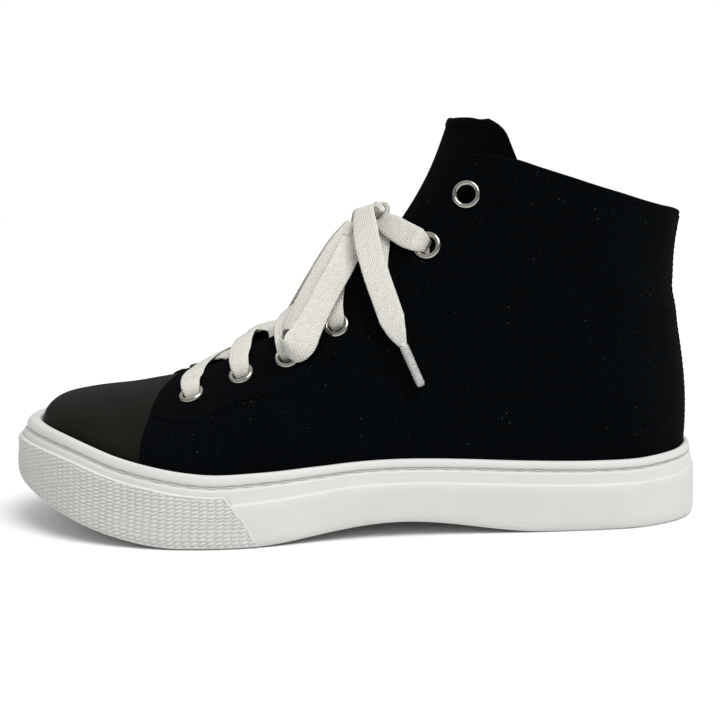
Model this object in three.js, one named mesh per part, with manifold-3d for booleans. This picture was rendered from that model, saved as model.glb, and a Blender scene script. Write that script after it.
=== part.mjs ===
// High top sneaker, left shoe, size 40. Millimetres, +X to the toe, +Y to the outer side, +Z up.
import * as THREE from 'three';
import { mergeVertices } from 'three/addons/utils/BufferGeometryUtils.js';
import Module from 'manifold-3d';

const wasm = await Module();
wasm.setup();

// ---------------------------------------------------------------- sizes

// The pattern below is drawn for one size and graded to these.
const PATTERN = { length: 277.5, ballWidth: 106, legHeight: 160 };
const SHOE = { length: 277.5, ballWidth: 106, legHeight: 160 };

const TOE_SPRING = 21;
const SPRING_START = 67;
const SPRING_POWER = 1.8;
const ARCH = 5.9;
const ARCH_MIDDLE = -15;
const ARCH_REACH = 60;

const CUP_FLOOR = 9;
const GAP = 0.3;
const WALL = 2.8;
const INSOLE_THICKNESS = 4;
const TONGUE_GAP = 0.5;
const TONGUE_THICKNESS = 2.6;

const CAP_THICKNESS = 1;
const CAP_BELOW_CANVAS = 0.4;
const BUMPER_PROUD = 0.8;
const BUMPER_LET_IN = 1;
const TREAD_DEPTH = 1.5;
const TREAD_WIDTH = 3;
const TREAD_MARGIN = 9;
const CHEVRON = 5;

const EYELET = { hole: 3.3, barrel: 3.9, flange: 6.2, crown: 4.9, seat: 0.6, height: 1.6, sides: 8 };
const LACE = { width: 10.4, thickness: 1.4, lift: 2.7, clearOfEyelet: 0.17, pastMiddle: 0.6 };
const AGLET = { radius: 1.6, sides: 8 };

const STEPS_UP = 6;
const CORD_STEPS = 12;
const BEYOND = 260;

// ---------------------------------------------------------------- pattern tables

function table(names, ...rows) {
  return rows.map((row) => Object.fromEntries(names.map((name, i) => [name, row[i]])));
}

// One row a section, from the toe tip to the heel back.
// x, outer, inner: plan of the sole. inset: from there in to the canvas. rim: height of the sole's bead.
// topX, swing, topZ: where the section's two sides end. half: half of the distance between them.
// rise, bulge: the lower handle of each side. shoulder, drop, fan: the upper handle.
// facets: flats that the round is made of, as far as the next section.
const SECTIONS = table(
  ['name', 'x', 'outer', 'inner', 'inset', 'rim', 'topX', 'swing', 'topZ', 'half',
    'rise', 'bulge', 'shoulder', 'drop', 'fan', 'facets'],
  ['toe tip', 138.8, -9.5, -9.5, 11.5, 41.5, 106, -8.5, 54, 0, 0.60, 0, 14, 0, 1, 3],
  ['toe corner', 132.5, 12, -30.5, 9.5, 41.3, 104, -8.5, 54.3, 0, 0.58, 0, 16, 0, 1, 3],
  ['toe side', 112.5, 33.5, -47, 6, 39.2, 98, -8.2, 55.3, 0, 0.52, 0, 19, 0, 0.7, 3],
  ['ball', 84, 47, -54, 4.4, 32.2, 84, -7, 57.3, 0, 0.48, 0, 22, 0, 0.3, 2],
  ['vamp', 59, 51.7, -54.3, 4.4, 28.2, 62, -4.4, 62.3, 0, 0.48, 0, 28, 0, 0, 2],
  ['facing', 36, 50.3, -49.5, 4.4, 28.2, 40, -1.9, 76, 0, 0.50, 0, 18, 0, 0, 1],
  ['low instep', 16, 45.6, -43.5, 4.4, 29, 20, -0.3, 87.5, 0, 0.50, 0, 17, 0, 0, 1],
  ['instep', 0, 42.8, -39.5, 4.4, 30, 2, 0, 102, 0, 0.50, 0, 17, 0, 0, 1],
  ['high instep', -15, 41, -36.8, 4.4, 30.3, -15, 0, 119.5, 0, 0.50, 0, 17, 0, 0, 1],
  ['throat', -30, 39.9, -35.2, 4.4, 29.9, -27.5, 0, 139, 0, 0.50, 0, 17, 0, 0, 1],
  ['tongue', -45, 39.1, -35.2, 4.4, 29.1, -36, 0, 160, 0, 0.50, 0, 17, 0, 0, 2],
  ['shin', -60, 38.7, -36, 4.4, 28.2, -43, 0, 182, 0, 0.45, 1, 18, 6, 0, 3],
  ['ankle', -76, 38.3, -36.6, 4.4, 27.5, -56, 0, 182, 19, 0.42, 2, 8, 35, 0.5, 1],
  ['mid ankle', -92, 37.6, -36.2, 4.4, 27.1, -76, 0, 170, 29, 0.42, 3, -2, 45, 1, 1],
  ['heel side', -111, 34.8, -33.8, 4.4, 27.2, -101, 0, 153, 30, 0.43, 3.5, -7, 46, 1, 2],
  ['heel round', -127.8, 24.8, -24.5, 4.4, 28.2, -123.5, 0, 141, 23.5, 0.43, 3.5, -13, 48, 1, 2],
  ['heel corner', -136, 12.9, -13.1, 4.4, 29.2, -134.8, 0, 137, 12.5, 0.43, 3.5, -16, 48, 1, 2],
  ['heel back', -138.6, -0.2, -0.2, 4.4, 29.6, -138, 0, 136, 0, 0.43, 3.5, -16.5, 48, 1, 1],
);

// The side of the sole, from the bottom up and over the bead into the cup.
// lean: part of the section's inset. step: added to it. from, height: where the row lies.
const SIDE_WALL = table(
  ['name', 'lean', 'step', 'from', 'height'],
  ['tread edge', 0, 1.6, 'base', 0],
  ['foot of the wall', 0, 0.4, 'base', 1.4],
  ['wall', 0, 0, 'base', 4.5],
  ['ridge', 0.05, 0, 'rim', -9.2],
  ['over the ridge', 0.07, 0.7, 'rim', -8.4],
  ['under the groove', 0.16, 0.7, 'rim', -4.4],
  ['groove', 0.3, 1.2, 'rim', -3.7],
  ['over the groove', 0.36, 0, 'rim', -2.9],
  ['bead', 0.46, 0, 'rim', -1.2],
  ['top of the bead', 0.72, 0, 'rim', 0],
  ['inside of the bead', 1, -GAP, 'rim', -0.9],
  ['cup wall', 1, -GAP, 'base', CUP_FLOOR],
);

// The collar seen from the side: everything over this line is cut away.
const COLLAR = table(
  ['name', 'x', 'z'],
  ['over the throat', -28, 134],
  ['facing corner', -36.5, 139.3],
  ['front', -42.5, 143.4],
  ['peak', -50, 145.2],
  ['side', -62, 142.8],
  ['ankle', -88, 134],
  ['heel', -122, 123.6],
  ['back', -140, 119.5],
);

// The throat in plan: its middle and half of its width along the shoe.
const THROAT = table(
  ['name', 'x', 'middle', 'half'],
  ['end', 62.5, -4.5, 0],
  ['end corner', 60, -4.2, 7.5],
  ['lowest eyelet', 53, -3.4, 13],
  ['vamp', 40, -1.9, 14.2],
  ['instep', 0, 0, 14],
  ['high instep', -23, 0, 13],
  ['sixth eyelet', -32, 0, 15],
  ['top', -46, 0, 20],
);

// The rear edge of the toe cap in plan.
const CAP_EDGE = table(
  ['name', 'x', 'y'],
  ['outer rim', 82.6, 44],
  ['outer side', 80, 32],
  ['outer shoulder', 75.5, 13],
  ['middle', 68.5, -5],
  ['inner shoulder', 75, -24],
  ['inner side', 79.5, -42],
  ['inner rim', 82, -54],
);

// The slanted rear edge of the toe bumper seen from the side.
const BUMPER_EDGE = { topX: 51.5, topZ: 22.5, footX: 37.5, footZ: 0 };

// The eyelets of one facing, from the toe up, as places on the form.
const EYELETS = table(
  ['name', 'turn', 'up'],
  ['1', 0.1143, 0.6167],
  ['2', 0.1398, 0.58],
  ['3', 0.1654, 0.545],
  ['4', 0.1967, 0.56],
  ['5', 0.2279, 0.578],
  ['6', 0.2656, 0.545],
  ['7', 0.3061, 0.535],
);

// Grooves across the tread, by their places along the shoe.
const TREAD = { heelFrom: -126, heelTo: -78, foreFrom: 22, foreTo: 112, pitch: 12 };

const KNOT = { x: -11, y: 0.5, z: 123, halfLength: 5, halfWidth: 4.2, halfHeight: 3, tilt: 46 };

// Routes of the bow's outer half, by hand: x along the shoe, y from its middle, z up.
const LOOP_ROUTE = table(
  ['x', 'y', 'z'],
  [-2.2, 8.6, 115.4],
  [0.7, 12.8, 110.4],
  [4.6, 19.6, 103.4],
  [9.5, 23.6, 95.2],
  [13.9, 27, 87.5],
  [18.3, 30, 79.8],
  [21.5, 31.8, 74.7],
  [24.8, 32.2, 72.2],
  [27.6, 29.4, 73.6],
  [27.5, 26.4, 77.2],
  [24.2, 23.8, 82.2],
  [19.4, 20.6, 89.1],
  [14.5, 16.8, 96.4],
  [9.2, 13.4, 104.7],
  [3.5, 9.8, 112.6],
  [-1.8, 7.4, 118.3],
);
const END_ROUTE = table(
  ['x', 'y', 'z'],
  [-9.5, 5.6, 123.4],
  [-7.9, 6.8, 124.7],
  [-6.3, 8.6, 125.2],
  [-5, 11, 124.6],
  [-4.6, 13.6, 122.9],
  [-4.7, 16.2, 120.5],
  [-5.1, 19.2, 117.1],
  [-5.7, 22.6, 112.2],
  [-7.2, 26, 105.9],
  [-9, 29.2, 99.1],
  [-11.3, 32, 92.1],
  [-13.5, 34.2, 85.3],
  [-15.1, 35.4, 80.5],
  [-16.5, 36.2, 77.1],
  [-18, 36.9, 73.9],
);
const AGLET_ROUTE = { fromX: -18.2, fromY: 37, fromZ: 73.4, toX: -24.7, toY: 38.6, toZ: 58.4 };

// The tongue seen from the side: its top, its hem and the edge under the facings.
const TONGUE = table(
  ['name', 'x', 'z'],
  ['toe end', 62, 52],
  ['over the toe end', 62, 80],
  ['over the instep', -10, 140],
  ['front of the top', -30, 159.8],
  ['top', -51, 159.8],
  ['top corner', -58.5, 157.2],
  ['side corner', -63.2, 151.5],
  ['side', -65.5, 143],
  ['inside the collar', -66, 126],
  ['ankle', -58, 110],
  ['instep edge', -20, 86],
  ['vamp edge', 20, 63],
  ['toe edge', 48, 51],
);

// ---------------------------------------------------------------- curves of the pattern

const lengthGrade = SHOE.length / PATTERN.length;
const widthGrade = SHOE.ballWidth / PATTERN.ballWidth;
const heightGrade = SHOE.legHeight / PATTERN.legHeight;
const LAST = SECTIONS.length - 1;
const AROUND = 2 * LAST;

// The sections are passed twice round the shoe: down the outer side to the heel, back up the inner one.
const isInner = (index) => index > LAST;
const sectionAt = (index) => SECTIONS[isInner(index) ? AROUND - index : index];

function smoothLoop(values, turn) {
  const count = values.length;
  const place = (((turn % 1) + 1) % 1) * count;
  const start = Math.floor(place + 1e-9);
  const w = place - start;
  const [a, b, c, d] = [-1, 0, 1, 2].map((k) => values[(start + k + count) % count]);
  const [out, into] = [(c - a) / 2, (d - b) / 2];
  return b + out * w + (3 * (c - b) - 2 * out - into) * w * w + (2 * (b - c) + out + into) * w ** 3;
}

function loopOf(pick) {
  return Array.from({ length: AROUND }, (_, i) => pick(sectionAt(i), isInner(i) ? -1 : 1));
}

const loops = {
  x: loopOf((s) => s.x * lengthGrade),
  y: loopOf((s, side) => (side > 0 ? s.outer : s.inner) * widthGrade),
  inset: loopOf((s) => s.inset),
  rim: loopOf((s) => s.rim),
  topX: loopOf((s) => s.topX * lengthGrade),
  topY: loopOf((s, side) => (s.swing + side * s.half) * widthGrade),
  topZ: loopOf((s) => s.topZ * heightGrade),
  rise: loopOf((s) => s.rise),
  bulge: loopOf((s) => s.bulge),
  shoulder: loopOf((s) => s.shoulder * widthGrade),
  drop: loopOf((s) => s.drop * heightGrade),
  fan: loopOf((s) => s.fan),
};

const at = (name, turn) => smoothLoop(loops[name], turn);
const plan = (turn) => new THREE.Vector2(at('x', turn), at('y', turn));

function outward(turn) {
  const step = 1e-4;
  const along = plan(turn + step).sub(plan(turn - step)).normalize();
  return new THREE.Vector2(along.y, -along.x);
}

// Height of the sole's bottom: flat under heel and forefoot, raised at the arch and the toe.
function baseHeight(x) {
  const toward = Math.max(0, (x - SPRING_START) / (SHOE.length / 2 - SPRING_START));
  const off = Math.min(1, Math.abs(x - ARCH_MIDDLE) / ARCH_REACH);
  return TOE_SPRING * toward ** SPRING_POWER + ARCH * Math.cos((off * Math.PI) / 2) ** 2;
}

// ---------------------------------------------------------------- the form of the foot and leg

// A point on the canvas: turn goes round the shoe, up goes from the bead to the top of the section.
function formPoint(turn, up) {
  const out = outward(turn);
  const foot = plan(turn).addScaledVector(out, -at('inset', turn));
  const low = new THREE.Vector3(foot.x, foot.y, at('rim', turn));
  const top = new THREE.Vector3(at('topX', turn), at('topY', turn), at('topZ', turn));
  const bulge = at('bulge', turn);
  const lowHandle = low.clone();
  lowHandle.x += out.x * bulge;
  lowHandle.y += out.y * bulge;
  lowHandle.z += (top.z - low.z) * at('rise', turn);
  const side = new THREE.Vector3(out.x * at('fan', turn), out.y, 0).normalize();
  const topHandle = top.clone().addScaledVector(side, at('shoulder', turn));
  topHandle.z -= at('drop', turn);
  return new THREE.CubicBezierCurve3(low, lowHandle, topHandle, top).getPoint(up);
}

// Outward, taken just under the top line, where the form comes to a point at the toe.
function formNormal(turn, up) {
  const step = 1e-3;
  const height = THREE.MathUtils.clamp(up, step, 0.99);
  const round = formPoint(turn + step, height).sub(formPoint(turn - step, height));
  const rising = formPoint(turn, height + step).sub(formPoint(turn, height - step));
  return round.cross(rising).normalize();
}

// The same point moved out of the canvas, or into it where the distance is below zero.
function offsetPoint(turn, up, distance) {
  const normal = formNormal(turn, up);
  if (up === 1) {
    normal.add(formNormal(-turn, up)).normalize();
  }
  return formPoint(turn, up).addScaledVector(normal, distance);
}

// ---------------------------------------------------------------- solids

// Rings with the same number of points are skinned, and the first and last are closed across.
function skin(rings) {
  const count = rings[0].length;
  const positions = rings.flat().flatMap((point) => [point.x, point.y, point.z]);
  const faces = [];
  const quad = (a, b, c, d) => faces.push(a, b, c, a, c, d);
  for (let level = 0; level + 1 < rings.length; level += 1) {
    for (let i = 0; i < count; i += 1) {
      const next = (i + 1) % count;
      const [low, high] = [level * count, (level + 1) * count];
      quad(low + i, low + next, high + next, high + i);
    }
  }
  const last = (rings.length - 1) * count;
  for (let i = 0; i < count / 2; i += 1) {
    const [other, before] = [(count - i) % count, count - i - 1];
    quad(i, other, before, i + 1);
    quad(last + i, last + i + 1, last + before, last + other);
  }
  return closedGeometry(positions, faces);
}

function closedGeometry(positions, faces) {
  const loose = new THREE.BufferGeometry();
  loose.setAttribute('position', new THREE.Float32BufferAttribute(positions, 3));
  loose.setIndex(faces);
  return mergeVertices(loose, 1e-3);
}

function toSolid(geometry) {
  const welded = geometry.clone();
  welded.deleteAttribute('normal');
  welded.deleteAttribute('uv');
  const merged = mergeVertices(welded, 1e-3);
  const index = Array.from(merged.index.array);
  const faces = [];
  for (let i = 0; i < index.length; i += 3) {
    const [a, b, c] = index.slice(i, i + 3);
    if (a !== b && b !== c && c !== a) {
      faces.push(a, b, c);
    }
  }
  const vertProperties = new Float32Array(merged.attributes.position.array);
  const triVerts = new Uint32Array(faces);
  return new wasm.Manifold(new wasm.Mesh({ numProp: 3, vertProperties, triVerts }));
}

function toGeometry(solid) {
  const mesh = solid.getMesh();
  const geometry = new THREE.BufferGeometry();
  geometry.setAttribute('position', new THREE.Float32BufferAttribute(mesh.vertProperties, 3));
  geometry.setIndex(Array.from(mesh.triVerts));
  return geometry;
}

const outerTurns = SECTIONS.slice(0, LAST).flatMap((section, i) => Array.from(
  { length: section.facets },
  (_, k) => (i + k / section.facets) / AROUND,
));
const turns = [...outerTurns, 0.5, ...outerTurns.slice(1).reverse().map((turn) => 1 - turn)];
const levels = Array.from({ length: STEPS_UP + 1 }, (_, i) => i / STEPS_UP);

// The closed form, offset by a distance. It goes straight down into the cup, or further by a drop.
function form(distance, footDrop = 0) {
  const rings = levels.map((up) => turns.map((turn) => offsetPoint(turn, up, distance)));
  const footHeight = (x) => baseHeight(x) + CUP_FLOOR + GAP - footDrop;
  const foot = rings[0].map((point) => point.clone().setZ(footHeight(point.x)));
  return toSolid(skin([foot, ...rings]));
}

function soleRing(row, grow = 0) {
  return turns.map((turn) => {
    const inward = row.lean * at('inset', turn) + row.step - grow;
    const point = plan(turn).addScaledVector(outward(turn), -inward);
    const z = row.from === 'rim' ? at('rim', turn) : baseHeight(point.x);
    return new THREE.Vector3(point.x, point.y, z + row.height);
  });
}

// A shape drawn from the side, x along the shoe and z up, cut through the whole width.
function sidePrism(points, from = -BEYOND / 2, to = BEYOND / 2) {
  const shape = new THREE.Shape(points);
  const prism = new THREE.ExtrudeGeometry(shape, { depth: to - from, bevelEnabled: false });
  prism.rotateX(Math.PI / 2);
  prism.translate(0, to, 0);
  return toSolid(prism);
}

function planPrism(points, from, to) {
  const prism = new THREE.ExtrudeGeometry(new THREE.Shape(points), {
    depth: to - from,
    bevelEnabled: false,
  });
  prism.translate(0, 0, from);
  return toSolid(prism);
}

// ---------------------------------------------------------------- pieces

// The block of the sole's wall round the toe, grown or shrunk, and made taller by a reach both ways.
function wallBlock(grow, reach) {
  const rows = table(
    ['lean', 'step', 'from', 'height'],
    [0, 0.9, 'base', GAP - reach],
    [0, 0, 'base', 4.5],
    [0.05, 0, 'rim', -9.2],
    [0.17, 0.3, 'rim', -5.2 + reach],
  );
  return toSolid(skin(rows.map((row) => soleRing(row, grow))));
}

function bumperRegion(grow) {
  const { topX, topZ, footX, footZ } = BUMPER_EDGE;
  const slope = (topX - footX) / (topZ - footZ);
  const rise = 40;
  const top = new THREE.Vector2(topX - grow + slope * rise, topZ + rise);
  const foot = new THREE.Vector2(footX - grow - slope * rise, footZ - rise);
  return sidePrism([foot, new THREE.Vector2(BEYOND, foot.y), new THREE.Vector2(BEYOND, top.y), top]);
}

function toeBumper() {
  const band = wallBlock(BUMPER_PROUD, 0).subtract(wallBlock(-BUMPER_LET_IN, 3));
  return toGeometry(band.intersect(bumperRegion(0)));
}

function bumperRecess() {
  const band = wallBlock(3, GAP).subtract(wallBlock(-BUMPER_LET_IN - GAP, 3));
  return band.intersect(bumperRegion(GAP));
}

function halfWidthAt(x) {
  const nearest = outerTurns.reduce((best, turn) => (
    Math.abs(at('x', turn) - x) < Math.abs(at('x', best) - x) ? turn : best
  ));
  return { outer: at('y', nearest) - TREAD_MARGIN, inner: at('y', 1 - nearest) + TREAD_MARGIN };
}

// A groove across the tread, bent forward in its middle and as deep as the sole's bottom allows.
function treadGroove(x) {
  const { outer, inner } = halfWidthAt(x);
  const middle = (outer + inner) / 2;
  const line = [[x, outer], [x + CHEVRON, middle], [x, inner]];
  const front = line.map(([px, py]) => new THREE.Vector2(px + TREAD_WIDTH / 2, py));
  const rear = line.map(([px, py]) => new THREE.Vector2(px - TREAD_WIDTH / 2, py)).reverse();
  return planPrism([...front, ...rear], -CHEVRON, baseHeight(x) + TREAD_DEPTH);
}

function sole() {
  let body = toSolid(skin(SIDE_WALL.map((row) => soleRing(row))));
  body = body.subtract(bumperRecess());
  const { heelFrom, heelTo, foreFrom, foreTo, pitch } = TREAD;
  for (const [from, to] of [[heelFrom, heelTo], [foreFrom, foreTo]]) {
    for (let x = from; x <= to; x += pitch) {
      body = body.subtract(treadGroove(x));
    }
  }
  return toGeometry(body);
}

function insole() {
  const edge = { lean: 1, step: WALL + GAP, from: 'base', height: CUP_FLOOR + GAP };
  const top = { ...edge, height: edge.height + INSOLE_THICKNESS };
  return toGeometry(toSolid(skin([soleRing(edge), soleRing(top)])));
}

function aboveCollar() {
  const line = COLLAR.map((row) => new THREE.Vector2(row.x * lengthGrade, row.z * heightGrade));
  const curve = new THREE.SplineCurve(line).getPoints(3 * line.length);
  const over = [new THREE.Vector2(-BEYOND, line.at(-1).y - 6), new THREE.Vector2(-BEYOND, BEYOND)];
  return sidePrism([...curve, ...over, new THREE.Vector2(curve[0].x + BEYOND, BEYOND)]);
}

function smoothLine(points, steps) {
  return new THREE.SplineCurve(points).getPoints(steps);
}

function throat() {
  const outer = THROAT.map((row) => new THREE.Vector2(row.x, row.middle + row.half));
  const inner = THROAT.slice(1).map((row) => new THREE.Vector2(row.x, row.middle - row.half));
  const edges = [inner.reverse(), outer].map((edge) => smoothLine(edge, 2 * edge.length));
  return planPrism(edges.flat(), 48, BEYOND);
}

function capRegion(grow) {
  const edge = CAP_EDGE.map((row) => new THREE.Vector2(row.x - grow, row.y));
  const ahead = [new THREE.Vector2(BEYOND, edge.at(-1).y - 9), new THREE.Vector2(BEYOND, edge[0].y + 9)];
  const first = edge[0].clone().setY(ahead[1].y);
  const last = edge.at(-1).clone().setY(ahead[0].y);
  return planPrism([first, ...smoothLine(edge, 2 * edge.length), last, ...ahead], 0, BEYOND);
}

function toeCap() {
  const inner = -CAP_BELOW_CANVAS - CAP_THICKNESS;
  const leather = form(-CAP_BELOW_CANVAS).subtract(form(inner, 2));
  return toGeometry(leather.intersect(capRegion(0)));
}

// Where the leather lies, the canvas is cut back to a thin toe lining.
function capRecess() {
  const floor = -CAP_BELOW_CANVAS - CAP_THICKNESS - GAP;
  return form(1, 1).subtract(form(floor, 2)).intersect(capRegion(GAP));
}

function eyeletFrame(turn, up) {
  const normal = formNormal(turn, up);
  const turned = new THREE.Quaternion().setFromUnitVectors(new THREE.Vector3(0, 0, 1), normal);
  return new THREE.Matrix4().compose(formPoint(turn, up), turned, new THREE.Vector3(1, 1, 1));
}

function eyeletHole(turn, up) {
  const radius = EYELET.barrel + GAP;
  const drill = new THREE.CylinderGeometry(radius, radius, 3 * WALL, EYELET.sides);
  drill.rotateX(Math.PI / 2);
  return toSolid(drill.applyMatrix4(eyeletFrame(turn, up)));
}

function upper() {
  let shell = form(0).subtract(form(-WALL, CUP_FLOOR - 1));
  shell = shell.subtract(aboveCollar()).subtract(throat()).subtract(capRecess());
  for (const { turn, up } of EYELETS) {
    shell = shell.subtract(eyeletHole(turn, up)).subtract(eyeletHole(1 - turn, up));
  }
  return toGeometry(shell);
}

function eyelet(turn, up) {
  const { hole, barrel, flange, crown, seat, height, sides } = EYELET;
  const lip = [[barrel, seat], [flange, seat], [crown, height], [hole, seat]];
  const profile = [[hole, -WALL], [barrel, -WALL], ...lip, [hole, -WALL]];
  const ring = new THREE.LatheGeometry(profile.map(([r, z]) => new THREE.Vector2(r, z)), sides);
  ring.rotateX(Math.PI / 2);
  ring.applyMatrix4(eyeletFrame(turn, up));
  return toGeometry(toSolid(ring));
}

function tongue() {
  const outerFace = -WALL - TONGUE_GAP;
  const sheet = form(outerFace, 1).subtract(form(outerFace - TONGUE_THICKNESS, 4));
  const outline = TONGUE.map((row) => new THREE.Vector2(row.x * lengthGrade, row.z * heightGrade));
  return toGeometry(sheet.intersect(sidePrism(outline)));
}

// A flat strip along a curve: its width lies across both the curve and the normal.
function strip(curve, normalAt, from, to, steps) {
  const rings = Array.from({ length: steps + 1 }, (_, i) => {
    const t = THREE.MathUtils.lerp(from, to, i / steps);
    const middle = curve.getPoint(t);
    const normal = normalAt(t);
    const across = normal.clone().cross(curve.getTangent(t)).normalize();
    const corners = [[1, -1], [1, 1], [-1, 1], [-1, -1]];
    return corners.map(([side, face]) => middle.clone()
      .addScaledVector(across, (side * LACE.width) / 2)
      .addScaledVector(normal, (face * LACE.thickness) / 2));
  });
  return toSolid(skin(rings));
}

function ridgeNear(point) {
  const places = outerTurns.filter((turn) => at('topZ', turn) < SHOE.legHeight);
  const nearest = places.reduce((best, turn) => (
    formPoint(turn, 1).distanceTo(point) < formPoint(best, 1).distanceTo(point) ? turn : best
  ));
  return { point: offsetPoint(nearest, 1, LACE.lift / 2), normal: formNormal(nearest, 1) };
}

// From an eyelet on one side over the throat to just short of the other facing.
function laceOver(eyeletRow, nextRow, side) {
  const turnOn = (row, hand) => (hand > 0 ? row.turn : 1 - row.turn);
  const start = offsetPoint(turnOn(eyeletRow, side), eyeletRow.up, LACE.lift);
  const end = offsetPoint(turnOn(nextRow, -side), nextRow.up, LACE.lift);
  const halfway = start.clone().add(end).multiplyScalar(0.5);
  const ridge = ridgeNear(halfway);
  const normals = [
    formNormal(turnOn(eyeletRow, side), eyeletRow.up),
    ridge.normal,
    formNormal(turnOn(nextRow, -side), nextRow.up),
  ];
  const control = ridge.point.clone().multiplyScalar(2).sub(halfway);
  const curve = new THREE.QuadraticBezierCurve3(start, control, end);
  const normalAt = (t) => {
    const half = t < 0.5 ? [normals[0], normals[1], 2 * t] : [normals[1], normals[2], 2 * t - 1];
    return half[0].clone().lerp(half[1], half[2]).normalize();
  };
  return strip(curve, normalAt, LACE.clearOfEyelet, LACE.pastMiddle, 4);
}

function laceCrossing(index) {
  const row = EYELETS[index];
  const next = EYELETS[index + 1];
  return toGeometry(laceOver(row, next, 1).add(laceOver(row, next, -1)));
}

// A free length of lace: a flat eight-sided section along its route.
function cord(route, side, section) {
  const points = route.map((row) => new THREE.Vector3(row.x, side * row.y, row.z));
  return new THREE.ExtrudeGeometry(section, {
    steps: CORD_STEPS,
    bevelEnabled: false,
    extrudePath: new THREE.CatmullRomCurve3(points),
  });
}

function flatSection() {
  const [w, t] = [LACE.width / 2, LACE.thickness / 2];
  const side = [[t, w - 1], [t / 2, w], [-t / 2, w], [-t, w - 1]];
  const corners = [...side, ...side.map(([x, y]) => [-x, -y])];
  return new THREE.Shape(corners.map(([x, y]) => new THREE.Vector2(x, y)));
}

function knot() {
  const lump = new THREE.SphereGeometry(1, 10, 7);
  lump.scale(KNOT.halfLength, KNOT.halfWidth, KNOT.halfHeight);
  lump.rotateY(THREE.MathUtils.degToRad(KNOT.tilt));
  return lump.translate(KNOT.x, KNOT.y, KNOT.z);
}

function aglet(side) {
  const { fromX, fromY, fromZ, toX, toY, toZ } = AGLET_ROUTE;
  const route = table(['x', 'y', 'z'], [fromX, fromY, fromZ], [toX, toY, toZ]);
  const round = new THREE.Shape();
  round.absarc(0, 0, AGLET.radius, 0, 2 * Math.PI);
  const section = new THREE.Shape(round.getPoints(AGLET.sides / 4).slice(0, -1));
  return cord(route, side, section);
}

// The origin is on the floor, under the middle of all that isn't loose lace.
function centreOnFloor(group) {
  const fixed = group.children.filter((mesh) => !LOOSE.test(mesh.name));
  const box = new THREE.Box3();
  for (const mesh of fixed) {
    box.expandByObject(mesh, true);
  }
  const middle = box.getCenter(new THREE.Vector3()).setZ(box.min.z);
  for (const mesh of group.children) {
    mesh.geometry.translate(-middle.x, -middle.y, -middle.z);
  }
}

// ---------------------------------------------------------------- assembly

const RUBBER = { color: 0xe4e5e1, roughness: 0.55, metalness: 0 };
const CANVAS = { color: 0x14171b, roughness: 0.95, metalness: 0 };
const LINING = { color: 0x202124, roughness: 0.95, metalness: 0 };
const LEATHER = { color: 0x1b1918, roughness: 0.5, metalness: 0 };
const NICKEL = { color: 0xc8c8c6, roughness: 0.2, metalness: 1 };
const COTTON = { color: 0xe9e6dc, roughness: 0.9, metalness: 0 };
const CLEAR_SLEEVE = { color: 0xe6e8ea, roughness: 0.3, metalness: 0 };

const LOOSE = /^(lace_(knot|loop|end)|aglet)/;
const shoe = new THREE.Group();

function add(name, geometry, finish) {
  const mesh = new THREE.Mesh(geometry, new THREE.MeshStandardMaterial(finish));
  mesh.name = name;
  shoe.add(mesh);
}

add('sole', sole(), RUBBER);
add('insole', insole(), LINING);
add('upper', upper(), CANVAS);
add('tongue', tongue(), CANVAS);
add('toe_cap', toeCap(), LEATHER);
add('toe_bumper', toeBumper(), RUBBER);
for (const { name, turn, up } of EYELETS) {
  add(`eyelet_outer_${name}`, eyelet(turn, up), NICKEL);
  add(`eyelet_inner_${name}`, eyelet(1 - turn, up), NICKEL);
}
for (let index = 0; index + 2 < EYELETS.length; index += 1) {
  add(`lace_crossing_${index + 1}`, laceCrossing(index), COTTON);
}
add('lace_knot', knot(), COTTON);
for (const [hand, side] of [['outer', 1], ['inner', -1]]) {
  add(`lace_loop_${hand}`, cord(LOOP_ROUTE, side, flatSection()), COTTON);
  add(`lace_end_${hand}`, cord(END_ROUTE, side, flatSection()), COTTON);
  add(`aglet_${hand}`, aglet(side), CLEAR_SLEEVE);
}
centreOnFloor(shoe);

export default shoe;
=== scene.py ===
"""High top sneaker, left shoe: canvas, leather, rubber and lace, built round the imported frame."""

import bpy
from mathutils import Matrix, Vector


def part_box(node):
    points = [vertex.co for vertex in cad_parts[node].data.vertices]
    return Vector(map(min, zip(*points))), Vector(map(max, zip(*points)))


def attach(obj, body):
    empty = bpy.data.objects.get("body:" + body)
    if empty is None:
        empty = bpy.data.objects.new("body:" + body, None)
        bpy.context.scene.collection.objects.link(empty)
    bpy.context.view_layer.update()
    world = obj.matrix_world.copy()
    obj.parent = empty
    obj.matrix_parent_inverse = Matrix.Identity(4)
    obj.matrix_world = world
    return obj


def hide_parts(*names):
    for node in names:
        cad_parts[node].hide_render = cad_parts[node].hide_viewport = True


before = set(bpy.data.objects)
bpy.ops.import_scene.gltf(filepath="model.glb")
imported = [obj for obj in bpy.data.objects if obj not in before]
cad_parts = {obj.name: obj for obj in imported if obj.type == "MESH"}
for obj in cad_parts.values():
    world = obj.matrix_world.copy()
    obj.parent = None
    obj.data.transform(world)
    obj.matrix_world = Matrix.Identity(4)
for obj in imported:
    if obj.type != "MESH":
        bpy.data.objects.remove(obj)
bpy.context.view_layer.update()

import math

import bmesh
import bpy
import numpy as np
from bpy.props import FloatProperty, FloatVectorProperty, PointerProperty
from mathutils import Matrix, Vector

bl_info = {
    "name": "High top sneaker",
    "version": (1, 0, 0),
    "blender": (4, 5, 0),
    "location": "3D View > Sidebar > Sneaker",
    "description": "Makes a laced canvas high top sneaker round its packed frame",
    "category": "Object",
}

MM = 0.001
BODY = "root"

# ------------------------------------------------------------------ the pattern, in millimetres


def columns(names, *rows):
    """A short table as one array for each named column."""
    return dict(zip(names, np.array(rows, float).T))


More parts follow.
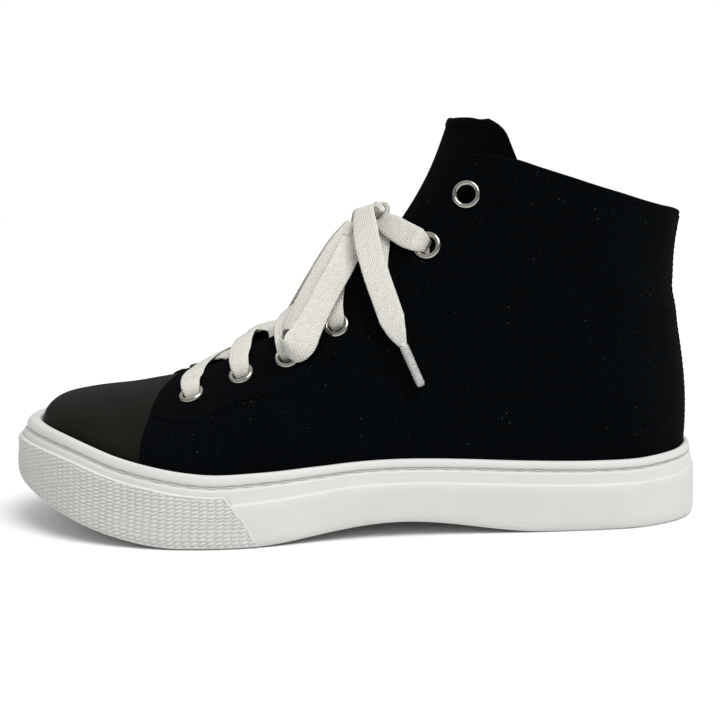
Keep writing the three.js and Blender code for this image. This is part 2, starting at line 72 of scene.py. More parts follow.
# One row a section, from the toe tip to the heel back. They follow the solids, with small
# corrections at the collar.
SECTIONS = columns(
    ("x", "outer", "inner", "inset", "rim", "top_x", "swing", "top_z", "half",
     "rise", "bulge", "shoulder", "drop", "fan"),
    (138.8, -9.5, -9.5, 11.5, 41.5, 106, -8.5, 54, 0, 0.60, 0, 14, 0, 1),
    (132.5, 12, -30.5, 9.5, 41.3, 104, -8.5, 54.3, 0, 0.58, 0, 16, 0, 1),
    (112.5, 33.5, -47, 6, 39.2, 98, -8.2, 55.3, 0, 0.52, 0, 19, 0, 0.7),
    (84, 47, -54, 4.4, 32.2, 84, -7, 57.3, 0, 0.48, 0, 22, 0, 0.3),
    (59, 51.7, -54.3, 4.4, 28.2, 62, -4.4, 62.3, 0, 0.48, 0, 28, 0, 0),
    (36, 50.3, -49.5, 4.4, 28.2, 40, -1.9, 76, 0, 0.50, 0, 18, 0, 0),
    (16, 45.6, -43.5, 4.4, 29, 20, -0.3, 87.5, 0, 0.50, 0, 17, 0, 0),
    (0, 42.8, -39.5, 4.4, 30, 2, 0, 102, 0, 0.50, 0, 17, 0, 0),
    (-15, 41, -36.8, 4.4, 30.3, -15, 0, 119.5, 0, 0.50, 0, 17, 0, 0),
    (-30, 39.9, -35.2, 4.4, 29.9, -27.5, 0, 139, 0, 0.50, 0, 17, 0, 0),
    (-45, 39.1, -35.2, 4.4, 29.1, -36, 0, 160, 0, 0.50, 0, 17, 0, 0),
    (-60, 38.7, -36, 4.4, 28.2, -43, 0, 182, 0, 0.45, 1, 18, 6, 0),
    (-76, 38.3, -36.6, 4.4, 27.5, -56, 0, 182, 19, 0.42, 2, 8, 35, 0.5),
    (-92, 37.6, -36.2, 4.4, 27.1, -76, 0, 170, 29, 0.42, 3, -2, 45, 1),
    (-111, 34.8, -33.8, 4.4, 27.2, -101, 0, 153, 30, 0.43, 3.5, -7, 46, 1),
    (-127.8, 24.8, -24.5, 4.4, 28.2, -122.5, 0, 141, 23.5, 0.43, 3.5, -13, 48, 1),
    (-136, 12.9, -13.1, 4.4, 29.2, -133.2, 0, 137, 12.5, 0.43, 3.5, -16, 48, 1),
    (-138.6, -0.2, -0.2, 4.4, 29.6, -136.2, 0, 136, 0, 0.43, 3.5, -16.5, 48, 1),
)

# The bottom's rise at the toe and at the arch, and the cup's floor over the bottom.
HALF_LENGTH = 138.75
TOE_SPRING = 21
SPRING_START = 67
SPRING_POWER = 1.8
ARCH = 5.9
ARCH_MIDDLE = -15
ARCH_REACH = 60
CUP_FLOOR = 9
GAP = 0.3
# Toward the toe's tip the sole's side is drawn in, and its bead and groove rise.
TOE_TIP = (95, 136)
TIP_STEP = 1.1
TIP_RISE = 2.2
# In front of the arch, what lies under the bead sits a little lower.
FRONT = (5, 55)
FRONT_DROP = 0.28
BEAD_FOOT = -1.5

# Millimetres to a whole turn and to the full height, for spacing points along lines on the form.
FORM_SCALE = (520, 100)
TOP_SCALE = (520, 60)

# Points closer than this are joined into one, in metres.
CLOTH_WELD = 0.00004
SOLE_WELD = 0.00003
STRIP_WELD = 0.00002
GRAIN_WELD = 0.00001
LACE_WELD = 0.000005
RING_WELD = 0.000002
STITCH_WELD = 0.000001

# Rows of stitches: the distance from one to the next and the length of each, in millimetres.
UPPER_STITCH = {"pitch": 2.5, "length": 1.8}
HEM_STITCH = {"pitch": 2.4, "length": 1.7}

# Lines on the form. turn goes round the shoe, from 0 at the toe tip to 0.5 at the heel back.
# up goes from 0 at the sole's bead to 1 at the top of the section.
PLACE = ("turn", "up")
CAP_EDGE = columns(
    PLACE,
    (0.0882, 0), (0.0901, 0.257), (0.0928, 0.407), (0.0957, 0.581),
    (0.0994, 0.737), (0.1046, 0.9), (0.1082, 1),
)
# The throat's end, the facing, the rounded corner over the top eyelet and the collar.
TOP_EDGE = columns(
    PLACE,
    (0.1169, 1), (0.1182, 0.94), (0.1222, 0.87), (0.1333, 0.795), (0.1581, 0.738),
    (0.19, 0.733), (0.2142, 0.735), (0.2518, 0.742), (0.2629, 0.725), (0.2757, 0.70),
    (0.2914, 0.665), (0.307, 0.625), (0.3165, 0.602), (0.325, 0.6), (0.3345, 0.618),
    (0.3456, 0.657), (0.3557, 0.688), (0.3732, 0.728), (0.3961, 0.78), (0.42, 0.835),
    (0.4485, 0.878), (0.475, 0.885), (0.5, 0.885),
)
# The lower edge of the facing, from the toe cap to the collar.
SEAM = columns(
    PLACE,
    (0.0938, 0.453), (0.0957, 0.447), (0.1068, 0.401), (0.1189, 0.386), (0.1252, 0.412),
    (0.137, 0.416), (0.1489, 0.392), (0.1627, 0.389), (0.1774, 0.405), (0.2, 0.428),
    (0.2224, 0.44), (0.25, 0.432), (0.2757, 0.42), (0.2900, 0.42), (0.3042, 0.424),
    (0.3125, 0.437), (0.3309, 0.49), (0.345, 0.56), (0.3502, 0.6), (0.3557, 0.688),
)
# The tongue seen from the side: its lower edge from the toe end, then its top edge.
SIDE_VIEW = ("x", "z")
TONGUE_SIDE = columns(
    SIDE_VIEW,
    (64, 50), (48, 51), (36, 56), (20, 63), (0, 74), (-20, 86), (-40, 97), (-58, 110),
    (-65, 126), (-63.2, 143), (-60.6, 150),
)
TONGUE_TOP = columns(
    SIDE_VIEW,
    (-39.3, 158.75), (-44, 158.8), (-49, 158.6), (-52, 158), (-55, 156.7), (-57.6, 154.7),
    (-59.5, 152.4), (-60.6, 150),
)
EYELETS = columns(
    PLACE,
    (0.1143, 0.6167), (0.1398, 0.58), (0.1654, 0.545), (0.1967, 0.56), (0.2279, 0.578),
    (0.2656, 0.545), (0.3061, 0.535),
)

# Soft troughs and ridges that wear has left in the canvas: height in millimetres.
CREASES = columns(
    ("turn", "up", "long", "tall", "height"),
    (0.462, 0.60, 0.045, 0.045, -0.7),
    (0.445, 0.50, 0.05, 0.05, 0.5),
    (0.40, 0.47, 0.05, 0.06, -0.4),
    (0.30, 0.22, 0.05, 0.10, 0.5),
    (0.24, 0.20, 0.04, 0.08, -0.4),
    (0.165, 0.24, 0.02, 0.12, -0.5),
    (0.145, 0.22, 0.018, 0.12, 0.4),
)

# The side of the sole, from the tread's edge up and over the bead into the cup.
# lean: part of the section's inset. step: added to it. level: 0 from the bottom, 1 from the rim.
SIDE_WALL = columns(
    ("lean", "step", "level", "height"),
    (0, 2.2, 0, 0),
    (0, 1.1, 0, 0.25),
    (0, 0.45, 0, 1),
    (0, 0.1, 0, 2.4),
    (0, 0, 0, 4.5),
    (0.02, 0, 1, -12),
    (0.05, 0, 1, -9.5),
    (0.055, 0.2, 1, -9.2),
    (0.07, 0.62, 1, -8.9),
    (0.08, 0.72, 1, -8.5),
    (0.16, 0.7, 1, -5),
    (0.18, 0.74, 1, -4.6),
    (0.22, 1.25, 1, -4.3),
    (0.26, 1.5, 1, -3.8),
    (0.3, 1.25, 1, -3.3),
    (0.34, 0.4, 1, -3),
    (0.37, 0.05, 1, -2.7),
    (0.41, 0, 1, -1.9),
    (0.47, 0, 1, -1),
    (0.56, 0, 1, -0.35),
    (0.66, 0, 1, -0.05),
    (0.77, 0, 1, 0),
    (0.87, 0, 1, -0.15),
    (0.95, 0, 1, -0.5),
    (1, -GAP, 1, -1.1),
    (1, -GAP, 0, CUP_FLOOR),
)
BUMPER_EDGE = {"top_x": 51.5, "top_z": 22.5, "foot_x": 37.5}
# The tread's two fields of grooves, and their sizes in millimetres.
TREAD = {"heel": (-126, -78), "fore": (22, 112), "pitch": 12, "width": 3, "depth": 1.5,
         "margin": 9, "chevron": 5, "soft": 0.8}

# The bow's outer half, as the solids have it.
ROUTE = ("x", "y", "z")
LOOP_ROUTE = columns(
    ROUTE,
    (-2.2, 8.6, 115.4), (0.7, 12.8, 110.4), (4.6, 19.6, 103.4), (9.5, 23.6, 95.2),
    (13.9, 27, 87.5), (18.3, 30, 79.8), (21.5, 31.8, 74.7), (24.8, 32.2, 72.2), (27.6, 29.4, 73.6),
    (27.5, 26.4, 77.2), (24.2, 23.8, 82.2), (19.4, 20.6, 89.1), (14.5, 16.8, 96.4),
    (9.2, 13.4, 104.7), (3.5, 9.8, 112.6), (-1.8, 7.4, 118.3),
)
END_ROUTE = columns(
    ROUTE,
    (-9.5, 5.6, 123.4), (-7.9, 6.8, 124.7), (-6.3, 8.6, 125.2), (-5, 11, 124.6),
    (-4.6, 13.6, 122.9), (-4.7, 16.2, 120.5), (-5.1, 19.2, 117.1), (-5.7, 22.6, 112.2),
    (-7.2, 26, 105.9), (-9, 29.2, 99.1), (-11.3, 32, 92.1), (-13.5, 34.2, 85.3),
    (-15.1, 35.4, 80.5), (-16.5, 36.2, 77.1), (-18, 36.9, 73.9),
)
# Where the flat side of the loop and of the end looks: part of the way, then x, y and z.
LOOP_FACES = (
    (0, 0.1, 0.85, 0.5), (0.1, -0.1, 0.93, 0.35), (0.25, -0.15, 0.95, 0.25),
    (0.4, -0.1, 0.97, 0.15), (0.49, 0.25, 0.65, -0.7), (0.55, 0.8, 0.25, -0.5),
    (0.62, 0.7, 0.6, 0.2), (0.75, 0.45, 0.8, 0.35), (0.9, 0.3, 0.8, 0.5), (1, 0.2, 0.7, 0.7),
)
END_FACES = (
    (0, 0.25, 0.1, 0.95), (0.07, 0.4, 0.3, 0.85), (0.14, 0.6, 0.6, 0.5),
    (0.22, 0.4, 0.88, 0.25), (0.5, 0.05, 0.97, 0.2), (0.8, 0.05, 0.97, 0.15), (1, 0.1, 0.95, 0.1),
)
# The end narrows and thickens as it is folded into its sleeve.
END_WIDTHS = ((0, 0.1, 0.3, 0.84, 0.93, 1), (0.84, 0.94, 0.99, 0.95, 0.66, 0.3))
END_DEPTHS = ((0, 0.82, 0.94, 1), (1, 1, 1.8, 2.3))
AGLET_ROUTE = columns(ROUTE, (-18, 37, 74.3), (-24.7, 38.6, 58.4))
KNOT = (-11, 0.5, 123)
THROAT_TILT = 46

LAST = len(SECTIONS["x"]) - 1
AROUND = 2 * LAST


def loop_of(outer, inner):
    """Values passed down the outer side to the heel, then up the inner side."""
    return np.concatenate([outer, inner[LAST - 1:0:-1]])


LOOPS = {name: loop_of(column, column) for name, column in SECTIONS.items()}
LOOPS["y"] = loop_of(SECTIONS["outer"], SECTIONS["inner"])
LOOPS["top_y"] = loop_of(
    SECTIONS["swing"] + SECTIONS["half"], SECTIONS["swing"] - SECTIONS["half"]
)


def blend(start, end, leave, arrive, w):
    """A smooth way from start to end, with given slopes where it leaves and arrives."""
    square = (3 * (end - start) - 2 * leave - arrive) * w ** 2
    return start + leave * w + square + (2 * (start - end) + leave + arrive) * w ** 3


def at(name, turn):
    """The value of a pattern column, smooth between its sections."""
    values = LOOPS[name]
    place = np.mod(turn, 1.0) * AROUND
    start = np.floor(place + 1e-9).astype(int)
    w = place - start
    a, b, c, d = (values[(start + k) % AROUND] for k in (-1, 0, 1, 2))
    return blend(b, c, (c - a) / 2, (d - b) / 2, w)


def unit(vectors):
    return vectors / np.maximum(np.linalg.norm(vectors, axis=-1, keepdims=True), 1e-12)


def plan(turn):
    return np.stack([at("x", turn), at("y", turn)], axis=-1)


def outward(turn):
    step = 1e-4
    along = unit(plan(turn + step) - plan(turn - step))
    return np.stack([along[..., 1], -along[..., 0]], axis=-1)


def base_height(x):
    """Height of the sole's bottom: flat under heel and forefoot, raised at arch and toe."""
    toward = np.maximum(0, (x - SPRING_START) / (HALF_LENGTH - SPRING_START))
    off = np.minimum(1, np.abs(x - ARCH_MIDDLE) / ARCH_REACH)
    return TOE_SPRING * toward ** SPRING_POWER + ARCH * np.cos(off * math.pi / 2) ** 2


def form_point(turn, up):
    """A point on the canvas."""
    turn, up = np.broadcast_arrays(np.asarray(turn, float), np.asarray(up, float))
    out = outward(turn)
    low = np.concatenate(
        [plan(turn) - out * at("inset", turn)[..., None], at("rim", turn)[..., None]], axis=-1
    )
    top = np.stack([at("top_x", turn), at("top_y", turn), at("top_z", turn)], axis=-1)
    low_handle = low.copy()
    low_handle[..., :2] += out * at("bulge", turn)[..., None]
    low_handle[..., 2] += (top[..., 2] - low[..., 2]) * at("rise", turn)
    side = unit(np.stack([out[..., 0] * at("fan", turn), out[..., 1]], axis=-1))
    top_handle = top.copy()
    top_handle[..., :2] += side * at("shoulder", turn)[..., None]
    top_handle[..., 2] -= at("drop", turn)
    t = up[..., None]
    near, far = (1 - t) ** 3 * low, t ** 3 * top
    return near + 3 * (1 - t) ** 2 * t * low_handle + 3 * (1 - t) * t * t * top_handle + far


def raw_normal(turn, up):
    step = 1e-3
    height = np.clip(up, step, 0.99)
    across = form_point(turn + step, height) - form_point(turn - step, height)
    rising = form_point(turn, height + step) - form_point(turn, height - step)
    return unit(np.cross(across, rising))


def form_normal(turn, up):
    """Outward. On the top line it is the mean of both sides'."""
    turn, up = np.broadcast_arrays(np.asarray(turn, float), np.asarray(up, float))
    normal = raw_normal(turn, up)
    on_top = (up > 0.995)[..., None]
    return np.where(on_top, unit(normal + raw_normal(-turn, up)), normal)


def on_form(turn, up, distance=0.0):
    """A point moved out of the canvas, or into it where the distance is below zero."""
    return form_point(turn, up) + form_normal(turn, up) * np.asarray(distance, float)[..., None]


def rows_of(table):
    """A table's rows as points."""
    return np.stack(list(table.values()), axis=-1)


def travelled(points, scale=1.0):
    """How far along a line each of its points lies."""
    steps = np.linalg.norm(np.diff(points, axis=0) * scale, axis=1)
    return np.concatenate([[0], np.cumsum(steps)])


def between(wanted, known, values):
    """Rows of values at the wanted places, from the rows at the known ones."""
    return np.stack([np.interp(wanted, known, column) for column in np.array(values).T], axis=-1)


def circle(sides):
    """Angles evenly round a full turn."""
    return np.linspace(0, 2 * math.pi, sides, endpoint=False)


def spline(table, count, scale=FORM_SCALE):
    """A smooth line through a table's rows, as count points evenly along it."""
    points = rows_of(table)
    scale = scale if points.shape[1] == 2 else 1.0
    gaps = np.linalg.norm(np.diff(points, axis=0) * scale, axis=1)
    slopes = np.diff(points, axis=0) / gaps[:, None]
    tangents = np.concatenate([
        slopes[:1],
        (slopes[:-1] * gaps[1:, None] + slopes[1:] * gaps[:-1, None])
        / (gaps[1:] + gaps[:-1])[:, None],
        slopes[-1:],
    ])
    w = np.linspace(0, 1, 24, endpoint=False)[None, :, None]
    gaps = gaps[:, None, None]
    fine = blend(points[:-1, None], points[1:, None], tangents[:-1, None] * gaps,
                 tangents[1:, None] * gaps, w)
    fine = np.concatenate([fine.reshape(-1, points.shape[1]), points[-1:]])
    return evenly(fine, count, scale)


def evenly(points, count, scale=1.0):
    """The same line as count points, evenly spaced along it."""
    run = travelled(points, scale)
    return between(np.linspace(0, run[-1], count), run, points)


def patch(bottom, top, left, right):
    """A grid between four lines: bottom and top run along it, left and right across it."""
    s = np.linspace(0, 1, len(bottom))[None, :, None]
    t = np.linspace(0, 1, len(left))[:, None, None]
    edges = (1 - t) * bottom[None] + t * top[None] + (1 - s) * left[:, None] + s * right[:, None]
    low = (1 - s) * bottom[0] + s * bottom[-1]
    high = (1 - s) * top[0] + s * top[-1]
    grid = edges - (1 - t) * low - t * high
    return grid[..., 0], np.clip(grid[..., 1], 0, 1)


def seen_from_side(table, count, distance):
    """The places on the outer side of the form that lie on a line drawn from the side."""
    wanted = spline(table, count, (1, 1))
    turns, ups = np.meshgrid(np.linspace(0.1, 0.38, 300), np.linspace(0.3, 1, 160))
    known = on_form(turns, ups, distance)[..., (0, 2)].reshape(-1, 2)
    places = np.stack([turns.ravel(), ups.ravel()], axis=-1)
    gaps = np.linalg.norm(wanted[:, None] - known[None], axis=-1)
    found = places[np.argmin(gaps, axis=1)]
    step = 1e-4
    for _ in range(12):
        turn, up = found[:, 0], found[:, 1]
        here = on_form(turn, up, distance)[:, (0, 2)]
        by_turn = (on_form(turn + step, up, distance)[:, (0, 2)] - here) / step
        by_up = (here - on_form(turn, up - step, distance)[:, (0, 2)]) / step
        basis = np.stack([by_turn, by_up], axis=-1)
        basis += np.eye(2) * 1e-6
        move = np.linalg.solve(basis, (wanted - here)[..., None])[..., 0]
        found = found + np.clip(move, (-0.004, -0.02), (0.004, 0.02))
        found[:, 1] = np.clip(found[:, 1], 0.02, 0.994)
    return found


def line(start, end, count):
    return np.linspace(np.array(start, float), np.array(end, float), count)


def on_side(turn, side):
    """The same place on the outer side (1) or the inner one (-1)."""
    return turn if side > 0 else 1 - turn


def both_sides(places):
    """A side's places on the outer side (1), then on the inner one (-1)."""
    turn, up = places
    for side in (1, -1):
        yield side, on_side(turn, side), up


def outer_place(turn):
    """The same place on the outer side, from either side."""
    return np.minimum(np.mod(turn, 1), 1 - np.mod(turn, 1))


def crease_lift(turn, up):
    """How far the canvas stands off its form."""
    outer_turn = outer_place(turn)
    lift = np.zeros_like(outer_turn)
    for t, u, long, tall, height in zip(*CREASES.values()):
        lift += height * np.exp(-(((outer_turn - t) / long) ** 2) - ((up - u) / tall) ** 2)
    return lift


def frame_shift():
    """How far the pattern is moved, because the solids are centred over the floor."""
    heel_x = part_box("sole")[0].x / MM
    bumper_low, bumper_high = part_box("toe_bumper")
    sides = plan(np.linspace(0, 1, 2001))[:, 1]
    middle = (sides.max() + sides.min()) / 2
    return np.array([
        heel_x - SECTIONS["x"][-1],
        (bumper_low.y + bumper_high.y) / 2 / MM - middle,
        0,
    ])


SHIFT = frame_shift()


def in_frame(points):
    """Pattern millimetres as metres in the frame."""
    return (np.asarray(points, float) + SHIFT) * MM


# ------------------------------------------------------------------ mesh making


def from_edge(grid, name):
    """The grid's rows, counted from one of its edges."""
    grid = grid.swapaxes(0, 1) if name in ("left", "right") else grid
    return grid[::-1] if name in ("top", "right") else grid


class Draft:
    """Points, faces and their finishes, gathered before they are made into one piece."""

    def __init__(self):
        self.points, self.uvs, self.faces, self.finishes = [], [], [], []
        self.count = 0

    def add(self, points, uvs, faces, finish=0):
        self.points.append(np.asarray(points, float).reshape(-1, 3))
        self.uvs.append(np.asarray(uvs, float).reshape(-1, 2))
        self.faces.extend([[index + self.count for index in face] for face in faces])
        self.finishes.extend([finish] * len(faces))
        self.count += len(self.points[-1])

    def grid(self, points, uvs=None, finish=0, closed=False):
        rows, cols = points.shape[:2]
        if uvs is None:
            uvs = cloth_uv(points)
        index = np.arange(rows * cols).reshape(rows, cols)
        across = np.concatenate([index, index[:, :1]], axis=1) if closed else index
        faces = np.stack(
            [across[:-1, :-1], across[:-1, 1:], across[1:, 1:], across[1:, :-1]], axis=-1
        )
        self.add(points, uvs, faces.reshape(-1, 4).tolist(), finish)

    def rim(self, outer, inner, away, finish=0, steps=6):
        """A rounded edge between the outer and inner skins' edges."""
        angle = np.linspace(math.pi / 2, -math.pi / 2, steps + 1)[:, None, None]
        half = (outer - inner) / 2
        radius = np.linalg.norm(half, axis=1)[:, None]
        points = (outer + inner) / 2 + half * np.sin(angle) + away * radius * np.cos(angle)
        self.grid(points, None, finish)

    def skins(self, outer, inner, finishes=(0, 1)):
        """Both skins of a sheet, without its edges."""
        self.grid(outer, None, finishes[0])
        self.grid(inner, None, finishes[1])

    def edge(self, outer, inner, name, finish=0, steps=6, part=slice(None)):
        """A rounded edge along one side of two skins, or along a part of it."""
        outer, inner = from_edge(outer, name), from_edge(inner, name)
        away = unit(outer[0] - outer[1])
        self.rim(outer[0][part], inner[0][part], away[part], finish, steps)

    def shell(self, outer, inner, finishes=(0, 1), sides=("bottom", "top", "left", "right")):
        """Two skins of one grid, closed by rounded edges."""
        self.skins(outer, inner, finishes)
        for name in sides:
            self.edge(outer, inner, name, finishes[0])

    def make(self, name, finishes, weld, replaced=()):
        """The finished piece, riding on the shoe's one body."""
        mesh = bpy.data.meshes.new(name)
        mesh.from_pydata(in_frame(np.concatenate(self.points)).tolist(), [], self.faces)
        uvs = np.concatenate(self.uvs)
        layer = mesh.uv_layers.new(name="UVMap")
        corners = np.zeros(len(mesh.loops), np.int32)
        mesh.loops.foreach_get("vertex_index", corners)
        layer.data.foreach_set("uv", uvs[corners].ravel().astype(np.float32))
        mesh.polygons.foreach_set("material_index", np.array(self.finishes, np.int32))
        for finish in finishes:
            mesh.materials.append(finish)
        work = bmesh.new()
        work.from_mesh(mesh)
        bmesh.ops.remove_doubles(work, verts=work.verts, dist=weld)
        bmesh.ops.dissolve_degenerate(work, edges=work.edges, dist=weld / 4)
        bmesh.ops.recalc_face_normals(work, faces=work.faces)
        work.to_mesh(mesh)
        work.free()
        mesh.polygons.foreach_set("use_smooth", np.ones(len(mesh.polygons), bool))
        piece = bpy.data.objects.new(name, mesh)
        bpy.context.scene.collection.objects.link(piece)
        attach(piece, BODY)
        if replaced:
            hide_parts(*replaced)
        return piece


UNROLL_FROM = -110
UNROLL_RADIUS = 28


def cloth_uv(points):
    """Places on the cloth in millimetres: along the shoe, unrolled at the heel, and up."""
    x, y = points[..., 0], points[..., 1]
    behind = np.maximum(0, UNROLL_FROM - x)
    round_heel = UNROLL_RADIUS * np.arctan2(behind, np.maximum(np.abs(y), 1e-6))
    along = np.maximum(x, UNROLL_FROM) - round_heel
    if points.ndim < 3 or points.shape[0] < 3:
        return np.stack([along, points[..., 2]], axis=-1)
    steps = np.linalg.norm(np.diff(points, axis=0), axis=-1)
    length = np.concatenate([np.zeros((1,) + steps.shape[1:]), np.cumsum(steps, axis=0)])
    return np.stack([along, points[:1, ..., 2] + length], axis=-1)


# The lace's cross-section: its corners, how square its width and thickness are, and half its
# width as the weave sees it.
LACE_SIDES = 14
FLAT_POWER = 0.55
FULL_POWER = 0.8
WEAVE_HALF = 5.2


def ribbon(draft, centres, across, widths, thickness):
    """A flat woven lace along a line. across is the direction of its width."""
    tangent = unit(np.gradient(centres, axis=0))
    across = unit(across - tangent * (across * tangent).sum(axis=1, keepdims=True))
    normal = np.cross(tangent, across)
    angle = circle(LACE_SIDES)
    flat = np.sign(np.cos(angle)) * np.abs(np.cos(angle)) ** FLAT_POWER
    full = np.sign(np.sin(angle)) * np.abs(np.sin(angle)) ** FULL_POWER
    widths = np.broadcast_to(widths, len(centres))
    thickness = np.broadcast_to(thickness, len(centres))
    points = (
        centres[:, None]
        + across[:, None] * (flat[None] * widths[:, None] / 2)[..., None]
        + normal[:, None] * (full[None] * thickness[:, None] / 2)[..., None]
    )
    uvs = np.stack([
        np.broadcast_to(flat[None] * WEAVE_HALF, points.shape[:2]),
        np.broadcast_to(travelled(centres)[:, None], points.shape[:2]),
    ], axis=-1)
    draft.grid(points, uvs, closed=True)
    for row in (0, -1):
        draft.add(points[row], uvs[row], [list(range(LACE_SIDES))])


STITCH_SIDES = 6
STITCH_RINGS = 5


def stitches(draft, centres, normals, pitch, length, radius, finish=0):
    """A row of single stitches along a line: each comes up out of the cloth and goes back in."""
    run = travelled(centres)
    places = np.arange(pitch / 2, run[-1] - length / 2, pitch)
    tangent = unit(np.gradient(centres, axis=0))
    middle, way, up = (between(places, run, values) for values in (centres, tangent, normals))
    way, up = unit(way), unit(up)
    side = np.cross(way, up)
    t = np.linspace(-1, 1, STITCH_RINGS)
    swell = np.sqrt(np.maximum(0.12, 1 - t ** 2))
    height = radius * (0.7 - 1.5 * t ** 2)
    angle = circle(STITCH_SIDES)
    spine = (
        middle[:, None] + way[:, None] * (t * length / 2)[None, :, None]
        + up[:, None] * height[None, :, None]
    )
    ring = (
        side[:, None, None] * np.cos(angle)[None, None, :, None]
        + up[:, None, None] * np.sin(angle)[None, None, :, None]
    )
    points = spine[:, :, None] + ring * (radius * swell)[None, :, None, None]
    count = STITCH_SIDES * STITCH_RINGS
    faces = []
    for ring_start in range(0, count - STITCH_SIDES, STITCH_SIDES):
        for j in range(STITCH_SIDES):
            here, beyond = ring_start + j, ring_start + (j + 1) % STITCH_SIDES
            faces.append([here, beyond, beyond + STITCH_SIDES, here + STITCH_SIDES])
    faces += [list(range(STITCH_SIDES)), list(range(count - STITCH_SIDES, count))]
    every = [[index + count * k for index in face] for k in range(len(places)) for face in faces]
    uvs = np.zeros(points.shape[:-1] + (2,))
    uvs[..., 0] = (places[:, None] + (t * length / 2)[None])[..., None]
    draft.add(points, uvs, every, finish)


def beside(places, gap):
    """The same line on the form, moved sideways by a gap in millimetres."""
    turn, up = places[:, 0], places[:, 1]
    step = 1e-3
    by_turn = (form_point(turn + step, up) - form_point(turn - step, up)) / (2 * step)
    by_up = (form_point(turn, up + step) - form_point(turn, up - step)) / (2 * step)
    centres = form_point(turn, up)
    way = unit(np.gradient(centres, axis=0))
    side = np.cross(form_normal(turn, up), way) * gap
    moved = places.copy()
    for i in range(len(places)):
        basis = np.stack([by_turn[i], by_up[i]], axis=1)
        moved[i] += np.linalg.lstsq(basis, side[i], rcond=None)[0]
    moved[:, 1] = np.clip(moved[:, 1], 0, 1)
    return moved


def sew(draft, places, side, offset, pitch, length, radius, finish=0, lift=True):
    """A row of stitches along a line on the form."""
    turn = on_side(places[:, 0], side)
    raised = offset + (crease_lift(turn, places[:, 1]) if lift else 0)
    stitches(draft, on_form(turn, places[:, 1], raised), form_normal(turn, places[:, 1]),
             pitch, length, radius, finish)


# Round each eyelet's middle, faces are cut away in this radius, in millimetres, of those within
# reach, in metres.
HOLE_RADIUS = 4.2
HOLE_REACH = 0.009


def cut_holes(piece):
    """Opens a sheet where the eyelets pass through it."""
    work = bmesh.new()
    work.from_mesh(piece.data)
    turns, ups = EYELETS.values()
    eyes = []
    for side in (1, -1):
        turn = on_side(turns, side)
        centres = in_frame(form_point(turn, ups))
        eyes += [(Vector(c), Vector(n)) for c, n in zip(centres, form_normal(turn, ups))]
    doomed = []
    for face in work.faces:
        middle = face.calc_center_median()
        for centre, normal in eyes:
            away = middle - centre
            if away.length > HOLE_REACH:
                continue
            along = away.dot(normal)
            if (away - normal * along).length < HOLE_RADIUS * MM:
                doomed.append(face)
                break
    bmesh.ops.delete(work, geom=doomed, context="FACES")
    work.to_mesh(piece.data)
    work.free()


def lathe(draft, centre, normal, profile, sides=40, finish=0, closed=True):
    """A ring turned round an axis. profile is radius and height, in millimetres."""
    first = unit(np.cross(normal, np.array([0.3, 0.1, 1.0])))
    second = np.cross(normal, first)
    angle = circle(sides)
    around = first[None] * np.cos(angle)[:, None] + second[None] * np.sin(angle)[:, None]
    rows = np.array(profile + profile[:1] if closed else profile, float)
    points = (
        centre + around[None] * rows[:, 0][:, None, None] + normal * rows[:, 1][:, None, None]
    )
    draft.grid(points, np.zeros(points.shape[:2] + (2,)), finish, closed=True)


# ------------------------------------------------------------------ finishes


class Nodes:
    """Short ways to add nodes to one tree."""

    def __init__(self, tree):
        self.tree = tree

    def put(self, target, value):
        """A link into a socket, or a fixed value."""
        if isinstance(value, bpy.types.NodeSocket):
            self.tree.links.new(value, target)
        else:
            target.default_value = value

    def add(self, kind, links=None, **values):
        node = self.tree.nodes.new(kind)
        for name, value in values.items():
            setattr(node, name, value)
        for socket, value in (links or {}).items():
            self.put(node.inputs[socket], value)
        return node

    def math(self, operation, a, b=0.0, c=0.0):
        return self.add("ShaderNodeMath", {0: a, 1: b, 2: c}, operation=operation).outputs[0]

    def clamp_range(self, value, low, high, to_low=0.0, to_high=1.0, smooth=False):
        node = self.add(
            "ShaderNodeMapRange", {0: value, 1: low, 2: high, 3: to_low, 4: to_high},
            interpolation_type="SMOOTHSTEP" if smooth else "LINEAR",
        )
        return node.outputs[0]

    def mix(self, mask, first, second):
        node = self.add("ShaderNodeMix", {0: mask}, data_type="RGBA")
        for index, value in ((6, first), (7, second)):
            fixed = not isinstance(value, bpy.types.NodeSocket)
            self.put(node.inputs[index], tuple(value) + (1,) if fixed else value)
        return node.outputs[2]

    def noise(self, vector, scale, detail=3.0, roughness=0.5):
        return self.add("ShaderNodeTexNoise", {
            "Vector": vector, "Scale": scale, "Detail": detail, "Roughness": roughness,
        }).outputs[0]


def group(name, inputs, outputs):
    """A new shader node group with its sockets. inputs holds each value's default."""
    tree = bpy.data.node_groups.new(name, "ShaderNodeTree")
    for label, default in inputs.items():
        kind = "NodeSocketVector" if default is None else "NodeSocketFloat"
        socket = tree.interface.new_socket(label, in_out="INPUT", socket_type=kind)
        if default is not None:
            socket.default_value = default
    for label in outputs:
        tree.interface.new_socket(label, in_out="OUTPUT", socket_type="NodeSocketFloat")
    nodes = Nodes(tree)
    return tree, nodes, nodes.add("NodeGroupInput"), nodes.add("NodeGroupOutput")


def finish_group(tree, group_output, results):
    for label, value in results.items():
        tree.links.new(value, group_output.inputs[label])


